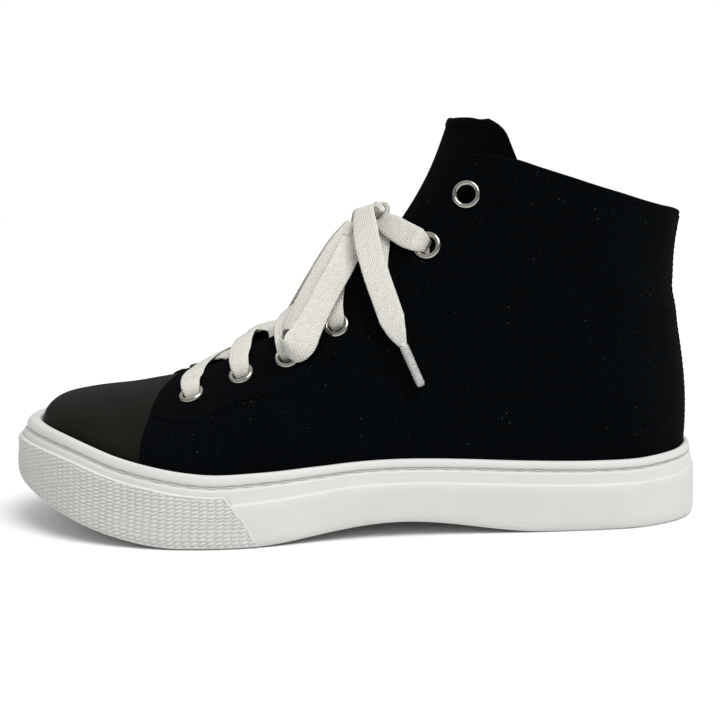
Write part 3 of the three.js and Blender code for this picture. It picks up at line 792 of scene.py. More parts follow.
def weave_group():
    """Plain weave: threads over and under each other, from a flat place on the cloth."""
    tree, n, start, end = group(
        "Woven threads", {"Place": None, "Across": 1.0, "Along": 1.0}, ["Height", "Tops"]
    )
    wobble = n.noise(start.outputs["Place"], 0.35, 2)
    parts = n.add("ShaderNodeSeparateXYZ", {0: start.outputs["Place"]})
    slip = n.math("MULTIPLY", n.math("SUBTRACT", wobble, 0.5), 1.1)
    u = n.math("DIVIDE", n.math("ADD", parts.outputs[0], slip), start.outputs["Across"])
    v = n.math("DIVIDE", n.math("ADD", parts.outputs[1], slip), start.outputs["Along"])
    u_turn = n.math("MULTIPLY", u, math.pi)
    v_turn = n.math("MULTIPLY", v, math.pi)
    warp = n.math("ABSOLUTE", n.math("SINE", u_turn))
    weft = n.math("ABSOLUTE", n.math("SINE", v_turn))
    over = n.math("MULTIPLY", n.math("COSINE", n.math("ADD", u_turn, math.pi / 2)),
                  n.math("COSINE", n.math("ADD", v_turn, math.pi / 2)))
    side = n.clamp_range(n.math("SUBTRACT", weft, warp), -0.6, 0.6)
    bulge = n.math("MULTIPLY", warp, weft)
    raised = n.math("ADD", n.math("MULTIPLY", over, 0.5), 0.5)
    thread = n.math("MAXIMUM", n.math("MULTIPLY", warp, raised),
                    n.math("MULTIPLY", weft, n.math("SUBTRACT", 1.0, raised)))
    height = n.math("ADD", n.math("MULTIPLY", bulge, 0.6), n.math("MULTIPLY", thread, 0.5))
    height = n.math("ADD", height, n.math("MULTIPLY", side, 0.08))
    tops = n.clamp_range(height, 0.55, 1.05)
    finish_group(tree, end, {"Height": height, "Tops": tops})
    return tree


def lint_group():
    """Sparse short fibres and specks."""
    tree, n, start, end = group("Lint", {"Place": None, "Amount": 0.5}, ["Mask"])
    stretched = n.add("ShaderNodeMapping", {"Vector": start.outputs["Place"],
                                            "Scale": (0.55, 0.3, 0.3)})
    cells = n.add("ShaderNodeTexVoronoi", {
        "Vector": stretched.outputs[0], "Scale": 1.0, "Randomness": 1.0})
    rare = n.noise(start.outputs["Place"], 0.11, 1)
    speck = n.clamp_range(cells.outputs["Distance"], 0.035, 0.075, 1.0, 0.0)
    allowed = n.clamp_range(n.math("ADD", rare, n.math("MULTIPLY", start.outputs["Amount"], 0.1)),
                            0.6, 0.66)
    finish_group(tree, end, {"Mask": n.math("MULTIPLY", speck, allowed)})
    return tree


def mottle_group():
    """Soft cloudy variation with a finer layer over it."""
    tree, n, start, end = group("Mottle", {"Place": None, "Size": 20.0}, ["Mask", "Fine"])
    scale = n.math("DIVIDE", 1.0, start.outputs["Size"])
    broad = n.noise(start.outputs["Place"], scale, 4, 0.55)
    fine = n.noise(start.outputs["Place"], n.math("MULTIPLY", scale, 24.0), 3, 0.6)
    finish_group(tree, end, {"Mask": n.clamp_range(broad, 0.3, 0.7), "Fine": fine})
    return tree


def grain_group():
    """Fine leather pores and creases."""
    tree, n, start, end = group("Leather grain", {"Place": None, "Size": 0.8}, ["Height"])
    scale = n.math("DIVIDE", 1.0, start.outputs["Size"])
    cells = n.add("ShaderNodeTexVoronoi", {"Vector": start.outputs["Place"], "Scale": scale},
                  feature="DISTANCE_TO_EDGE")
    pebble = n.clamp_range(cells.outputs["Distance"], 0.0, 0.28, smooth=True)
    broad = n.noise(start.outputs["Place"], 0.22, 3)
    fine = n.noise(start.outputs["Place"], 4.0, 2)
    height = n.math("ADD", n.math("MULTIPLY", pebble, 0.5), n.math("MULTIPLY", broad, 0.7))
    finish_group(tree, end, {"Height": n.math("ADD", height, n.math("MULTIPLY", fine, 0.15))})
    return tree


def wear_group():
    """Where edges and high spots are rubbed."""
    tree, n, start, end = group("Edge wear", {"Place": None, "Amount": 0.5}, ["Mask"])
    shape = n.add("ShaderNodeNewGeometry").outputs["Pointiness"]
    patchy = n.noise(start.outputs["Place"], 0.3, 4, 0.65)
    edge = n.clamp_range(shape, 0.52, 0.6)
    amount = n.math("MULTIPLY", edge, n.clamp_range(patchy, 0.35, 0.7))
    finish_group(tree, end, {"Mask": n.math("MULTIPLY", amount, start.outputs["Amount"])})
    return tree


GROUP_MAKERS = {
    "Woven threads": weave_group, "Lint": lint_group, "Mottle": mottle_group,
    "Leather grain": grain_group, "Edge wear": wear_group,
}


def use(nodes, name, **values):
    """A shared effect placed in a material."""
    tree = bpy.data.node_groups.get(name) or GROUP_MAKERS[name]()
    node = nodes.add("ShaderNodeGroup", node_tree=tree)
    for label, value in values.items():
        nodes.put(node.inputs[label.replace("_", " ")], value)
    return node


def finish_of(name, paint, **constants):
    """The material of that name, made the first time it's asked for."""
    material = bpy.data.materials.get(name)
    if material:
        return material
    material = bpy.data.materials.new(name)
    material.use_nodes = True
    material.node_tree.nodes.clear()
    n = Nodes(material.node_tree)
    shader = n.add("ShaderNodeBsdfPrincipled")
    for label, value in constants.items():
        shader.inputs[label.replace("_", " ")].default_value = value
    out = n.add("ShaderNodeOutputMaterial")
    material.node_tree.links.new(shader.outputs[0], out.inputs[0])
    for label, value in paint(n).items():
        material.node_tree.links.new(value, shader.inputs[label.replace("_", " ")])
    return material


def cloth_place(n):
    return n.add("ShaderNodeUVMap", uv_map="UVMap").outputs[0]


def solid_place(n):
    """The place in the shoe, in millimetres."""
    coords = n.add("ShaderNodeTexCoord").outputs["Object"]
    return n.add("ShaderNodeVectorMath", {0: coords, 1: (1000, 1000, 1000)},
                 operation="MULTIPLY").outputs[0]


def bump(n, height, depth, strength=1.0):
    """Relief of that depth in millimetres."""
    return n.add("ShaderNodeBump", {"Height": height, "Distance": depth * MM,
                                    "Strength": strength}).outputs[0]


def times(colour, factor):
    """A darker or lighter colour."""
    return tuple(min(1.0, channel * factor) for channel in colour[:3])


def mottled(n, size):
    """Soft clouds of that size in millimetres: the broad mask and the finer layer."""
    cloud = use(n, "Mottle", Place=solid_place(n), Size=size)
    return cloud.outputs["Mask"], cloud.outputs["Fine"]


def uneven(n, fine, low, high):
    """A roughness that varies a little from place to place."""
    return n.clamp_range(fine, 0.3, 0.7, low, high)


def canvas_finish(name, colour, pitch, lint=0.5, tops=8.0):
    def paint(n):
        solid = solid_place(n)
        weave = use(n, "Woven threads", Place=cloth_place(n), Across=pitch, Along=pitch * 1.05)
        mask, fine = mottled(n, 26.0)
        fluff = use(n, "Lint", Place=solid, Amount=lint)
        wear = use(n, "Edge wear", Place=solid, Amount=0.5)
        base = n.mix(mask, times(colour, 0.6), times(colour, 1.0))
        # Painted highlight: the tops of the threads are painted up to tops times lighter than the
        # cloth between them.
        with_painted_top_highlight = n.mix(n.math("MULTIPLY", weave.outputs["Tops"], fine), base,
                       times(colour, tops))
        rubbed = n.mix(wear.outputs["Mask"], with_painted_top_highlight, times(colour, tops * 2))
        final_colour = n.mix(n.math("MULTIPLY", fluff.outputs["Mask"], 0.8), rubbed, (0.16, 0.16, 0.16))
        rough = n.clamp_range(weave.outputs["Tops"], 0, 1, 0.96, 0.82)
        return {"Base_Color": final_colour, "Roughness": rough,
                "Normal": bump(n, weave.outputs["Height"], 0.24)}

    return finish_of(name, paint, Specular_IOR_Level=0.02, Sheen_Weight=0.006,
                     Sheen_Roughness=0.5)


def leather_finish(name, colour):
    def paint(n):
        solid = solid_place(n)
        grain = use(n, "Leather grain", Place=solid, Size=0.75)
        mask, fine = mottled(n, 18.0)
        wear = use(n, "Edge wear", Place=solid, Amount=0.5)
        base = n.mix(mask, times(colour, 0.85), times(colour, 1.2))
        rubbed = n.mix(wear.outputs["Mask"], base, times(colour, 2.5))
        return {"Base_Color": rubbed, "Roughness": uneven(n, fine, 0.4, 0.5),
                "Normal": bump(n, grain.outputs["Height"], 0.07)}

    return finish_of(name, paint, Specular_IOR_Level=0.04)


def rubber_finish(name, colour):
    def paint(n):
        solid = solid_place(n)
        mask, fine = mottled(n, 14.0)
        wear = use(n, "Edge wear", Place=solid, Amount=0.6)
        # Darker towards the bottom, in patches, over the lowest 6 mm above the floor.
        height_up = n.add("ShaderNodeSeparateXYZ", {0: solid}).outputs[2]
        low = n.clamp_range(height_up, 0.0, 6.0, 1.0, 0.0)
        darker_low_patches = n.math("MULTIPLY", low, n.clamp_range(fine, 0.4, 0.65, 0, 0.35))
        base = n.mix(mask, times(colour, 0.975), times(colour, 1.01))
        rubbed = n.mix(wear.outputs["Mask"], base, times(colour, 1.04))
        final_colour = n.mix(darker_low_patches, rubbed, times(colour, 0.72))
        return {"Base_Color": final_colour, "Roughness": uneven(n, fine, 0.42, 0.55),
                "Normal": bump(n, fine, 0.035)}

    return finish_of(name, paint, Specular_IOR_Level=0.35)


def lace_finish(name, colour):
    def paint(n):
        weave = use(n, "Woven threads", Place=cloth_place(n), Across=0.85, Along=0.75)
        mask, fine = mottled(n, 9.0)
        base = n.mix(mask, times(colour, 0.95), colour[:3])
        # Painted shade: the low parts of the weave, between the threads, are darker.
        shaded = n.mix(weave.outputs["Tops"], times(colour, 0.8), base)
        return {"Base_Color": shaded, "Roughness": uneven(n, fine, 0.82, 0.95),
                "Normal": bump(n, weave.outputs["Height"], 0.28)}

    return finish_of(name, paint, Specular_IOR_Level=0.2, Sheen_Weight=0.08,
                     Sheen_Roughness=0.5)


def thread_finish(name, colour, level=0.3):
    def paint(n):
        parts = n.add("ShaderNodeSeparateXYZ", {0: solid_place(n)})
        slant = n.math("ADD", parts.outputs[0], parts.outputs[2])
        twist = n.math("SINE", n.math("MULTIPLY", slant, 9.0))
        # Painted shade and highlight along the twist: darker in its grooves, lighter on its ridges.
        base = n.mix(n.clamp_range(twist, -1, 1), times(colour, 0.8), times(colour, 1.15))
        return {"Base_Color": base, "Roughness": uneven(n, mottled(n, 5.0)[1], 0.6, 0.8),
                "Normal": bump(n, twist, 0.05)}

    return finish_of(name, paint, Specular_IOR_Level=level)


def nickel_finish(name, colour):
    def paint(n):
        mask, fine = mottled(n, 2.4)
        base = n.mix(mask, times(colour, 0.9), colour[:3])
        return {"Base_Color": base, "Roughness": uneven(n, fine, 0.09, 0.2),
                "Normal": bump(n, fine, 0.012)}

    return finish_of(name, paint, Metallic=1.0)


def sleeve_finish(name, colour):
    def paint(n):
        mask, fine = mottled(n, 3.0)
        base = n.mix(mask, times(colour, 0.96), colour[:3])
        return {"Base_Color": base, "Roughness": uneven(n, fine, 0.08, 0.18)}

    return finish_of(name, paint, Transmission_Weight=0.75, IOR=1.45, Coat_Weight=0.3)


def floor_finish(name, colour):
    def paint(n):
        return {"Base_Color": n.mix(mottled(n, 300.0)[0], times(colour, 0.995), colour[:3])}

    return finish_of(name, paint, Roughness=0.9, Specular_IOR_Level=0.05)


def settings():
    """What the panel shows and changes."""
    return bpy.context.scene.sneaker


def canvas():
    return canvas_finish("Black canvas", settings().canvas_colour, settings().weave_pitch)


def lining():
    return canvas_finish("Black lining", (0.0025, 0.0028, 0.0034), 0.6, 0.2, 2.5)


def folded_edge():
    return canvas_finish("Folded canvas edge", times(settings().canvas_colour, 1.8),
                         settings().weave_pitch, 0.2, 3.0)


def leather():
    return leather_finish("Black leather", settings().leather_colour)


def rubber():
    return rubber_finish("White rubber", settings().rubber_colour)


def cotton():
    return lace_finish("White cotton lace", settings().lace_colour)


def nickel():
    return nickel_finish("Polished nickel", (0.4, 0.39, 0.35))


def black_thread():
    return thread_finish("Black thread", (0.0035, 0.004, 0.005), 0.05)


def white_thread():
    return thread_finish("White thread", (0.66, 0.66, 0.62), 0.25)


# ------------------------------------------------------------------ the sole


def sole_ring(turn, lean, step, level, height):
    """A line round the sole's side, drawn in and lifted at the toe's tip."""
    tip = np.interp(plan(turn)[..., 0], TOE_TIP, (0, 1))
    step = step + TIP_STEP * tip * (1 - lean)
    height = height + TIP_RISE * tip * level
    point = plan(turn) - outward(turn) * (at("inset", turn) * lean + step)[..., None]
    from_bottom, from_rim = base_height(point[..., 0]), at("rim", turn)
    front = np.interp(point[..., 0], FRONT, (0, 1))
    lower = 1 + FRONT_DROP * front * level * (height < BEAD_FOOT + TIP_RISE * tip)
    z = from_bottom + (from_rim - from_bottom) * level + height * lower
    return np.concatenate([point, z[..., None]], axis=-1)


def across_sole(turn, lean, step, cols, height):
    """A floor between the two sides: one row a turn, from the outer side to the inner."""
    edge = sole_ring(turn, lean, step, 0, 0)
    other = sole_ring(1 - turn, lean, step, 0, 0)
    w = np.linspace(0, 1, cols)[None, :, None]
    flat = edge[:, None] * (1 - w) + other[:, None] * w
    flat[..., 2] = base_height(flat[..., 0]) + height
    return flat


def tread(points):
    """Depth of the grooves at points of the bottom."""
    x, y = points[..., 0], points[..., 1]
    outer, inner = y[:, :1] - TREAD["margin"], y[:, -1:] + TREAD["margin"]
    middle = (outer + inner) / 2
    half = np.maximum((outer - inner) / 2, 1)
    bend = TREAD["chevron"] * (1 - np.minimum(1, np.abs(y - middle) / half))
    inside = np.clip((half - np.abs(y - middle)) / TREAD["soft"], 0, 1)
    reach = TREAD["width"] / 2 + TREAD["soft"] / 2
    depth = np.zeros_like(x)
    for name in ("heel", "fore"):
        first, last = TREAD[name]
        along = x - bend - first
        nearest = np.clip(np.round(along / TREAD["pitch"]), 0, (last - first) // TREAD["pitch"])
        off = np.abs(along - nearest * TREAD["pitch"])
        depth = np.maximum(depth, np.clip((reach - off) / TREAD["soft"], 0, 1))
    return depth * inside * TREAD["depth"]


# The middle of the stitching groove, and the stitches in it: their radius in millimetres and
# their length as a part of the pitch.
GROOVE = {"lean": 0.3, "step": 1.25, "level": 1, "height": -3.7}
SOLE_STITCH_RADIUS = 0.36
SOLE_STITCH_PART = 0.985


def make_sole():
    """The wall, the bottom with its tread, the cup's floor and the stitches in the groove."""
    draft = Draft()
    count = 560
    turn = np.arange(count) / count
    wall = np.stack([
        sole_ring(turn, lean, step, level, height)
        for lean, step, level, height in zip(*SIDE_WALL.values())
    ])
    draft.grid(wall, cloth_uv(wall), 0, closed=True)
    half = np.arange(count // 2 + 1) / count
    bottom = across_sole(half, 0, SIDE_WALL["step"][0], 61, 0)
    bottom[..., 2] += tread(bottom)
    draft.grid(bottom, bottom[..., :2], 0)
    floor = across_sole(half, 1, -GAP, 13, CUP_FLOOR)
    draft.grid(floor, floor[..., :2], 0)
    places = np.linspace(0, 1, 1201)
    groove = sole_ring(places, **GROOVE)
    slightly_up = np.full((len(places), 1), 0.12)
    normal = unit(np.concatenate([outward(places), slightly_up], axis=-1))
    pitch = settings().sole_stitch
    stitches(draft, groove, normal, pitch, pitch * SOLE_STITCH_PART, SOLE_STITCH_RADIUS, 1)
    return draft.make("white_rubber_sole", [rubber(), white_thread()], SOLE_WELD,
                      ["sole"])


def turn_at_x(x, side):
    turn = np.linspace(0, 0.3, 601)
    return on_side(np.interp(-np.asarray(x), -at("x", turn), turn), side)


BUMPER_ROWS = columns(
    ("lean", "step", "level", "height", "tall"),
    (0, 0.9, 0, 0.35, 0.35), (0, 0.35, 0, 1.2, 1.2), (0, 0.05, 0, 2.8, 2.8), (0, 0, 0, 4.5, 4.5),
    (0.03, 0, 1, -12.5, 12.2), (0.05, 0, 1, -9.8, 15.7), (0.06, -0.05, 1, -7.6, 18.5),
    (0.08, 0.1, 1, -6.6, 19.8), (0.11, 0.45, 1, -6.1, 20.4),
)


def bumper_sheet(lift, rows, cols):
    """The wall's outside from the bumper's rear edge on one side to the other."""
    tall = np.linspace(BUMPER_ROWS["tall"][0], BUMPER_ROWS["tall"][-1], rows)
    row = {name: np.interp(tall, BUMPER_ROWS["tall"], column)
           for name, column in BUMPER_ROWS.items()}
    slant = (BUMPER_EDGE["top_x"] - BUMPER_EDGE["foot_x"]) / BUMPER_EDGE["top_z"]
    end = BUMPER_EDGE["foot_x"] + slant * tall
    reach, reach_inner = turn_at_x(end, 1), turn_at_x(end, -1) - 1
    t = np.linspace(0, 1, cols)
    turn = reach[:, None] * (1 - t) + reach_inner[:, None] * t
    lean, step, level, height = (
        np.broadcast_to(row[name][:, None], turn.shape)
        for name in ("lean", "step", "level", "height")
    )
    return sole_ring(np.mod(turn, 1), lean, step - lift, level, height)


# A row's height, a bar's length, the bars' shift for each millimetre up, and the border's width.
GRAIN = {"row": 1.75, "bar": 3.1, "slant": 0.85, "border": 1.1}


def grain_height(points):
    """Small slanted bars that lock into each other, with a plain raised border."""
    steps = np.linalg.norm(np.diff(points, axis=1), axis=-1)
    along = np.concatenate([np.zeros((len(points), 1)), np.cumsum(steps, axis=1)], axis=1)
    total = along[:, -1:]
    rise = np.linalg.norm(np.diff(points, axis=0), axis=-1)
    up = np.concatenate([np.zeros((1, points.shape[1])), np.cumsum(rise, axis=0)])
    tall = up[-1:]
    edge = np.minimum.reduce([tall - up, along, total - along])
    middle = along - total / 2
    row = up / GRAIN["row"]
    band = np.floor(row)
    v = row - band
    u = (np.abs(middle) - up * GRAIN["slant"]) / GRAIN["bar"] + 0.5 * np.mod(band, 2)
    bar_u = np.abs(np.mod(u, 1) - 0.5) * 2
    bar_v = np.abs(v - 0.5) * 2
    bar = np.clip((0.84 - bar_u) / 0.22, 0, 1) * np.clip((0.86 - bar_v) / 0.3, 0, 1)
    border = np.clip((GRAIN["border"] - edge) / 0.25, 0, 1) * np.clip((edge - 0.05) / 0.3, 0, 1)
    return np.maximum(bar * (edge > 0.3), border)


# The bumper's points up and along it, and how far its back, the low parts of its face and the
# tops of its grain stand off the sole's side.
BUMPER_GRID = (106, 920)
BUMPER_LIFTS = {"back": -0.35, "low": 0.1, "high": 0.55}


def make_bumper():
    draft = Draft()
    back, low, high = (bumper_sheet(lift, *BUMPER_GRID) for lift in BUMPER_LIFTS.values())
    face = low + (high - low) * grain_height(low)[..., None]
    draft.grid(face, face[..., :2], 0)
    for a, b in ((face[0], back[0]), (face[-1], back[-1]), (face[:, 0], back[:, 0]),
                 (face[:, -1], back[:, -1])):
        draft.grid(np.stack([a, b]), np.zeros((2, len(a), 2)), 0)
    return draft.make("toe_bumper_grained", [rubber()], GRAIN_WELD, ["toe_bumper"])


# The insole's edge from its underside to its top: how far inside the cup, and how high.
INSOLE_EDGE = ((2.6, 9.4), (2.5, 12.6), (2.9, 13.2))
INSOLE_HOLLOW = 0.35


def make_insole():
    draft = Draft()
    count, cols = 320, 41
    turn = np.arange(count) / count
    half = np.arange(count // 2 + 1) / count
    wall = np.stack([sole_ring(turn, 1, step, 0, height) for step, height in INSOLE_EDGE])
    draft.grid(wall, None, 0, closed=True)
    under, top = (across_sole(half, 1, step, cols, height) for step, height in INSOLE_EDGE[::2])
    top[..., 2] -= INSOLE_HOLLOW * (1 - np.linspace(-1, 1, cols)[None] ** 2)
    draft.grid(top, top[..., :2], 0)
    draft.grid(under, under[..., :2], 0)
    return draft.make("insole_sock", [lining()], SOLE_WELD, ["insole"])


# ------------------------------------------------------------------ the upper

CANVAS_THICKNESS = 2.0
SIDE_COLS = 250
UP_ROWS = 66


def side_patch():
    """Places over one side's canvas, from the cap's edge to the heel."""
    bottom = line((CAP_EDGE["turn"][0], 0), (0.5, 0), SIDE_COLS)
    throat_end = line((CAP_EDGE["turn"][-1], 1), (TOP_EDGE["turn"][0], 1), 8)
    top = np.concatenate([throat_end[:-1], spline(TOP_EDGE, 900)])
    left = spline(CAP_EDGE, UP_ROWS)
    right = line((0.5, 0), (0.5, TOP_EDGE["up"][-1]), UP_ROWS)
    return patch(bottom, evenly(top, SIDE_COLS, TOP_SCALE), left, right)


def toe_patch(reach=0.0, rows=44, cols=70):
    """Places over one side of the toe, as far as the cap's edge and a little beyond it."""
    right = spline(CAP_EDGE, rows)
    right[:, 0] += reach * np.clip(1.4 - right[:, 1], 0.75, 1)
    bottom = line((0, 0), right[0], cols)
    top = line((0, 1), right[-1], cols)
    left = line((0, 0), (0, 1), rows)
    return patch(bottom, top, left, right)


def with_foot(points, rows=4):
    """The same sheet going straight down into the cup from its lowest row."""
    lowest = points[0]
    floor = base_height(lowest[:, 0]) + CUP_FLOOR + GAP
    w = np.linspace(0, 1, rows, endpoint=False)[:, None]
    foot = np.repeat(lowest[None], rows, axis=0).copy()
    foot[..., 2] = floor[None] * (1 - w) + lowest[None, :, 2] * w
    return np.concatenate([foot, points])


def open_part(up):
    """The part of a patch's top row that lies below the form's top line."""
    return slice(int(np.argmax(up[-1] < 0.9999)) - 1, None)


def make_upper():
    """Two skins on each side, folded at the edges, and the lining under the toe cap."""
    draft = Draft()
    for side, turn, up in both_sides(side_patch()):
        outer = with_foot(on_form(turn, up, crease_lift(turn, up)))
        inner = with_foot(on_form(turn, up, -CANVAS_THICKNESS + crease_lift(turn, up) * 0.5))
        draft.skins(outer, inner)
        draft.edge(outer, inner, "top", 2, 8, open_part(up))
        draft.rim(outer[0], inner[0], np.zeros_like(outer[0]) + (0, 0, -1), 0)
        fold_in = on_form(turn[:, 0], up[:, 0], -0.42 + crease_lift(turn[:, 0], up[:, 0]))
        edge = with_foot(np.stack([outer[4:, 0]], axis=1))[:, 0]
        under = with_foot(np.stack([fold_in], axis=1))[:, 0]
        away = unit(outer[:, 0] - outer[:, 1])
        draft.rim(edge, under, away, 0, 4)
        toe_turn, toe_up = toe_patch()
        toe = on_form(on_side(toe_turn, side), toe_up, -CANVAS_THICKNESS)
        draft.grid(with_foot(toe), None, 1)
    piece = draft.make("canvas_upper", [canvas(), lining(), folded_edge()], CLOTH_WELD,
                       ["upper"])
    cut_holes(piece)
    return piece


# How far the toe cap goes on under the canvas, as a part of a turn, and its skins' distances.
CAP_REACH = 0.0085
CAP_FACE = -0.45
CAP_BACK = -1.5


def make_toe_cap():
    draft = Draft()
    for _, turn, up in both_sides(toe_patch(CAP_REACH)):
        outer = with_foot(on_form(turn, up, CAP_FACE))
        inner = with_foot(on_form(turn, up, CAP_BACK))
        draft.skins(outer, inner, (0, 0))
        draft.edge(outer, inner, "right", steps=3)
        draft.rim(outer[0], inner[0], np.zeros_like(outer[0]) + (0, 0, -1), 0, 3)
    return draft.make("leather_toe_cap", [leather()], CLOTH_WELD, ["toe_cap"])


FACING_LIFT = 0.6


def facing_patch(rows=26):
    cols = 260
    left = spline(CAP_EDGE, 400)
    start = np.array([SEAM["turn"][0], SEAM["up"][0]])
    left = np.concatenate([start[None], left[left[:, 1] > SEAM["up"][0]]])
    left[:, 0] += 0.0005
    left = evenly(left, rows, FORM_SCALE)
    collar_turn = SEAM["turn"][-1]
    edge = spline(TOP_EDGE, 1200)
    edge = edge[edge[:, 0] <= collar_turn]
    throat_end = line((left[-1, 0], 1), (TOP_EDGE["turn"][0], 1), 8)
    top = evenly(np.concatenate([throat_end[:-1], edge]), cols, TOP_SCALE)
    bottom = spline(SEAM, cols)
    bottom[0], bottom[-1] = left[0], top[-1]
    right = line(bottom[-1], top[-1], rows)
    return patch(bottom, top, left, right)


def make_facings():
    draft = Draft()
    for _, turn, up in both_sides(facing_patch()):
        lift = crease_lift(turn, up)
        outer = on_form(turn, up, FACING_LIFT + lift)
        inner = on_form(turn, up, 0.06 + lift)
        draft.skins(outer, inner, (0, 0))
        draft.edge(outer, inner, "bottom", 0, 4, slice(None, -1))
        draft.edge(outer, inner, "left", 0, 4)
        draft.edge(outer, inner, "top", 1, 4, open_part(up))
    piece = draft.make("eyelet_facings", [canvas(), folded_edge()], CLOTH_WELD)
    cut_holes(piece)
    return piece


# The heel strip's half width and its stitches, as parts of a turn, and where it ends.
STRIP_HALF = 0.0095
STRIP_SEAM = 0.0082
STRIP_TOP = 0.875


def make_heel_strip():
    draft = Draft()
    rows, cols = 80, 17
    up = np.linspace(0, STRIP_TOP, rows)[:, None]
    turn = 0.5 + np.linspace(-STRIP_HALF, STRIP_HALF, cols)[None]
    turn, up = np.broadcast_arrays(turn, up)
    lift = crease_lift(turn, up)
    outer = on_form(turn, up, 0.55 + lift)
    inner = on_form(turn, up, 0.05 + lift)
    draft.shell(outer, inner, (0, 0))
    for gap in (-STRIP_SEAM, STRIP_SEAM):
        places = line((0.5 + gap, 0.02), (0.5 + gap, 0.86), 200)
        sew(draft, places, 1, 0.5, radius=0.16, finish=1, **HEM_STITCH)
    return draft.make("heel_strip", [canvas(), black_thread()], STRIP_WELD)


# The parts of the top edge with the collar's stitches and with the facing's.
COLLAR_SEAM_FROM = 0.335
FACING_SEAM = (0.124, 0.345)


def make_seams():
    """The rows of stitches on the canvas."""
    draft = Draft()
    seam = spline(SEAM, 1200)
    cap = spline(CAP_EDGE, 500)
    top = spline(TOP_EDGE, 1400)
    collar = top[top[:, 0] > COLLAR_SEAM_FROM]
    facing = top[(top[:, 0] > FACING_SEAM[0]) & (top[:, 0] < FACING_SEAM[1])]
    low_cap = cap[cap[:, 1] < SEAM["up"][0]]
    high_cap = cap[(cap[:, 1] > SEAM["up"][0] + 0.03) & (cap[:, 1] < 0.97)]
    rows = [
        (beside(places, gap), lift, radius) for places, gap, lift, radius in (
            (seam[12:-60], 1.5, FACING_LIFT, 0.22), (seam[12:-90], 4.2, FACING_LIFT, 0.22),
            (low_cap[10:], -1.6, 0, 0.22), (high_cap, -1.8, FACING_LIFT, 0.22),
            (collar, -2.6, 0, 0.2), (facing, -2.0, FACING_LIFT, 0.2),
        )
    ]
    for side in (1, -1):
        for places, lift, radius in rows:
            sew(draft, places, side, lift, radius=radius, **UPPER_STITCH)
    return draft.make("upper_stitching", [black_thread()], STITCH_WELD)


TONGUE_FACE = -3.4
TONGUE_THICKNESS = 2.6
TONGUE_SWELL = 2.4
HEM_WIDTH = 2.6
HEM_LIFT = 0.45


def tongue_patch(rows=60, cols=150):
    bottom = seen_from_side(TONGUE_SIDE, cols, TONGUE_FACE)
    right = seen_from_side(TONGUE_TOP, rows, TONGUE_FACE)[::-1].copy()
    right[0] = bottom[-1]
    right[-1, 1] = 1
    top = line((0.1176, 1), right[-1], cols)
    left = line(bottom[0], top[0], rows)
    return patch(bottom, top, left, right)


def make_tongue():
    """A hemmed canvas sheet that swells a little where it stands free of the facings."""
    draft = Draft()
    for side, turn, up in both_sides(tongue_patch()):
        outer_turn = outer_place(turn)
        full = TONGUE_SWELL * np.clip((up - 0.9) / 0.07, 0, 1)
        full = full * np.clip((outer_turn - 0.12) / 0.01, 0, 1)
        full = full * np.clip((0.235 - outer_turn) / 0.02, 0, 1)
        outer = on_form(turn, up, TONGUE_FACE + full)
        inward = np.minimum(
            np.linalg.norm(outer - outer[:, -1:], axis=-1),
            np.linalg.norm(outer - outer[:1], axis=-1),
        )
        hem = HEM_LIFT * np.clip((HEM_WIDTH - inward) / 0.5, 0, 1)
        outer = on_form(turn, up, TONGUE_FACE + hem + full)
        inner = on_form(turn, up, TONGUE_FACE - TONGUE_THICKNESS)
        draft.shell(outer, inner, (0, 1), ("bottom", "left", "right"))
        top_row = beside(seen_from_side(TONGUE_TOP, 200, TONGUE_FACE)[12:-5], -1.8)
        side_row = beside(seen_from_side(TONGUE_SIDE, 400, TONGUE_FACE)[-130:-6], 1.8)
        for row in (top_row, side_row):
            sew(draft, row, side, TONGUE_FACE + HEM_LIFT, radius=0.2, finish=2, lift=False,
                **HEM_STITCH)
    return draft.make("canvas_tongue", [canvas(), lining(), black_thread()], CLOTH_WELD,
                      ["tongue"])


# ------------------------------------------------------------------ eyelets and lace

EYELET_PROFILE = [
    (3.5, -3.0), (3.45, -1.2), (3.5, -0.2), (3.62, 0.5), (3.85, 1.02), (4.2, 1.4), (4.6, 1.6),
    (5.0, 1.62), (5.4, 1.46), (5.72, 1.16), (5.92, 0.8), (5.98, 0.4), (5.7, 0.2), (3.75, 0.2),
    (3.75, -2.1), (5.4, -2.12), (5.5, -2.35), (5.2, -2.6), (3.9, -2.95),
]
# The rings are this much of the profile. The sixth and the seventh look a little larger.
RING_SIZE = 0.87
TOP_RING_SIZE = 0.95


def make_eyelets():
    made = []
    for side, word in ((1, "outer"), (-1, "inner")):
        for i, (turn, up) in enumerate(zip(*EYELETS.values()), 1):
            place = on_side(turn, side)
            draft = Draft()
            size = RING_SIZE if i < 6 else TOP_RING_SIZE
            profile = [(radius * size, height) for radius, height in EYELET_PROFILE]
            lathe(draft, form_point(place, up), form_normal(place, up), profile, 56)
            made.append(draft.make(f"nickel_ring_{word}_{i}", [nickel()], RING_WELD,
                                   [f"eyelet_{word}_{i}"]))
    return made


def smooth_through(points, count=90):
    """A smooth line through a few points in space."""
    table = dict(zip(ROUTE, np.array(points, float).T))
    return spline(table, count)


def eyelet_place(index, side):
    turn = on_side(EYELETS["turn"][index], side)
    up = EYELETS["up"][index]
    return form_point(turn, up), form_normal(turn, up)


def ridge_place(point):
    turns = np.linspace(0.1, 0.29, 400)
    ridge = form_point(turns, np.ones_like(turns))
    nearest = int(np.argmin(np.linalg.norm(ridge - point, axis=1)))
    return ridge[nearest], form_normal(turns[nearest], 1.0), turns[nearest]


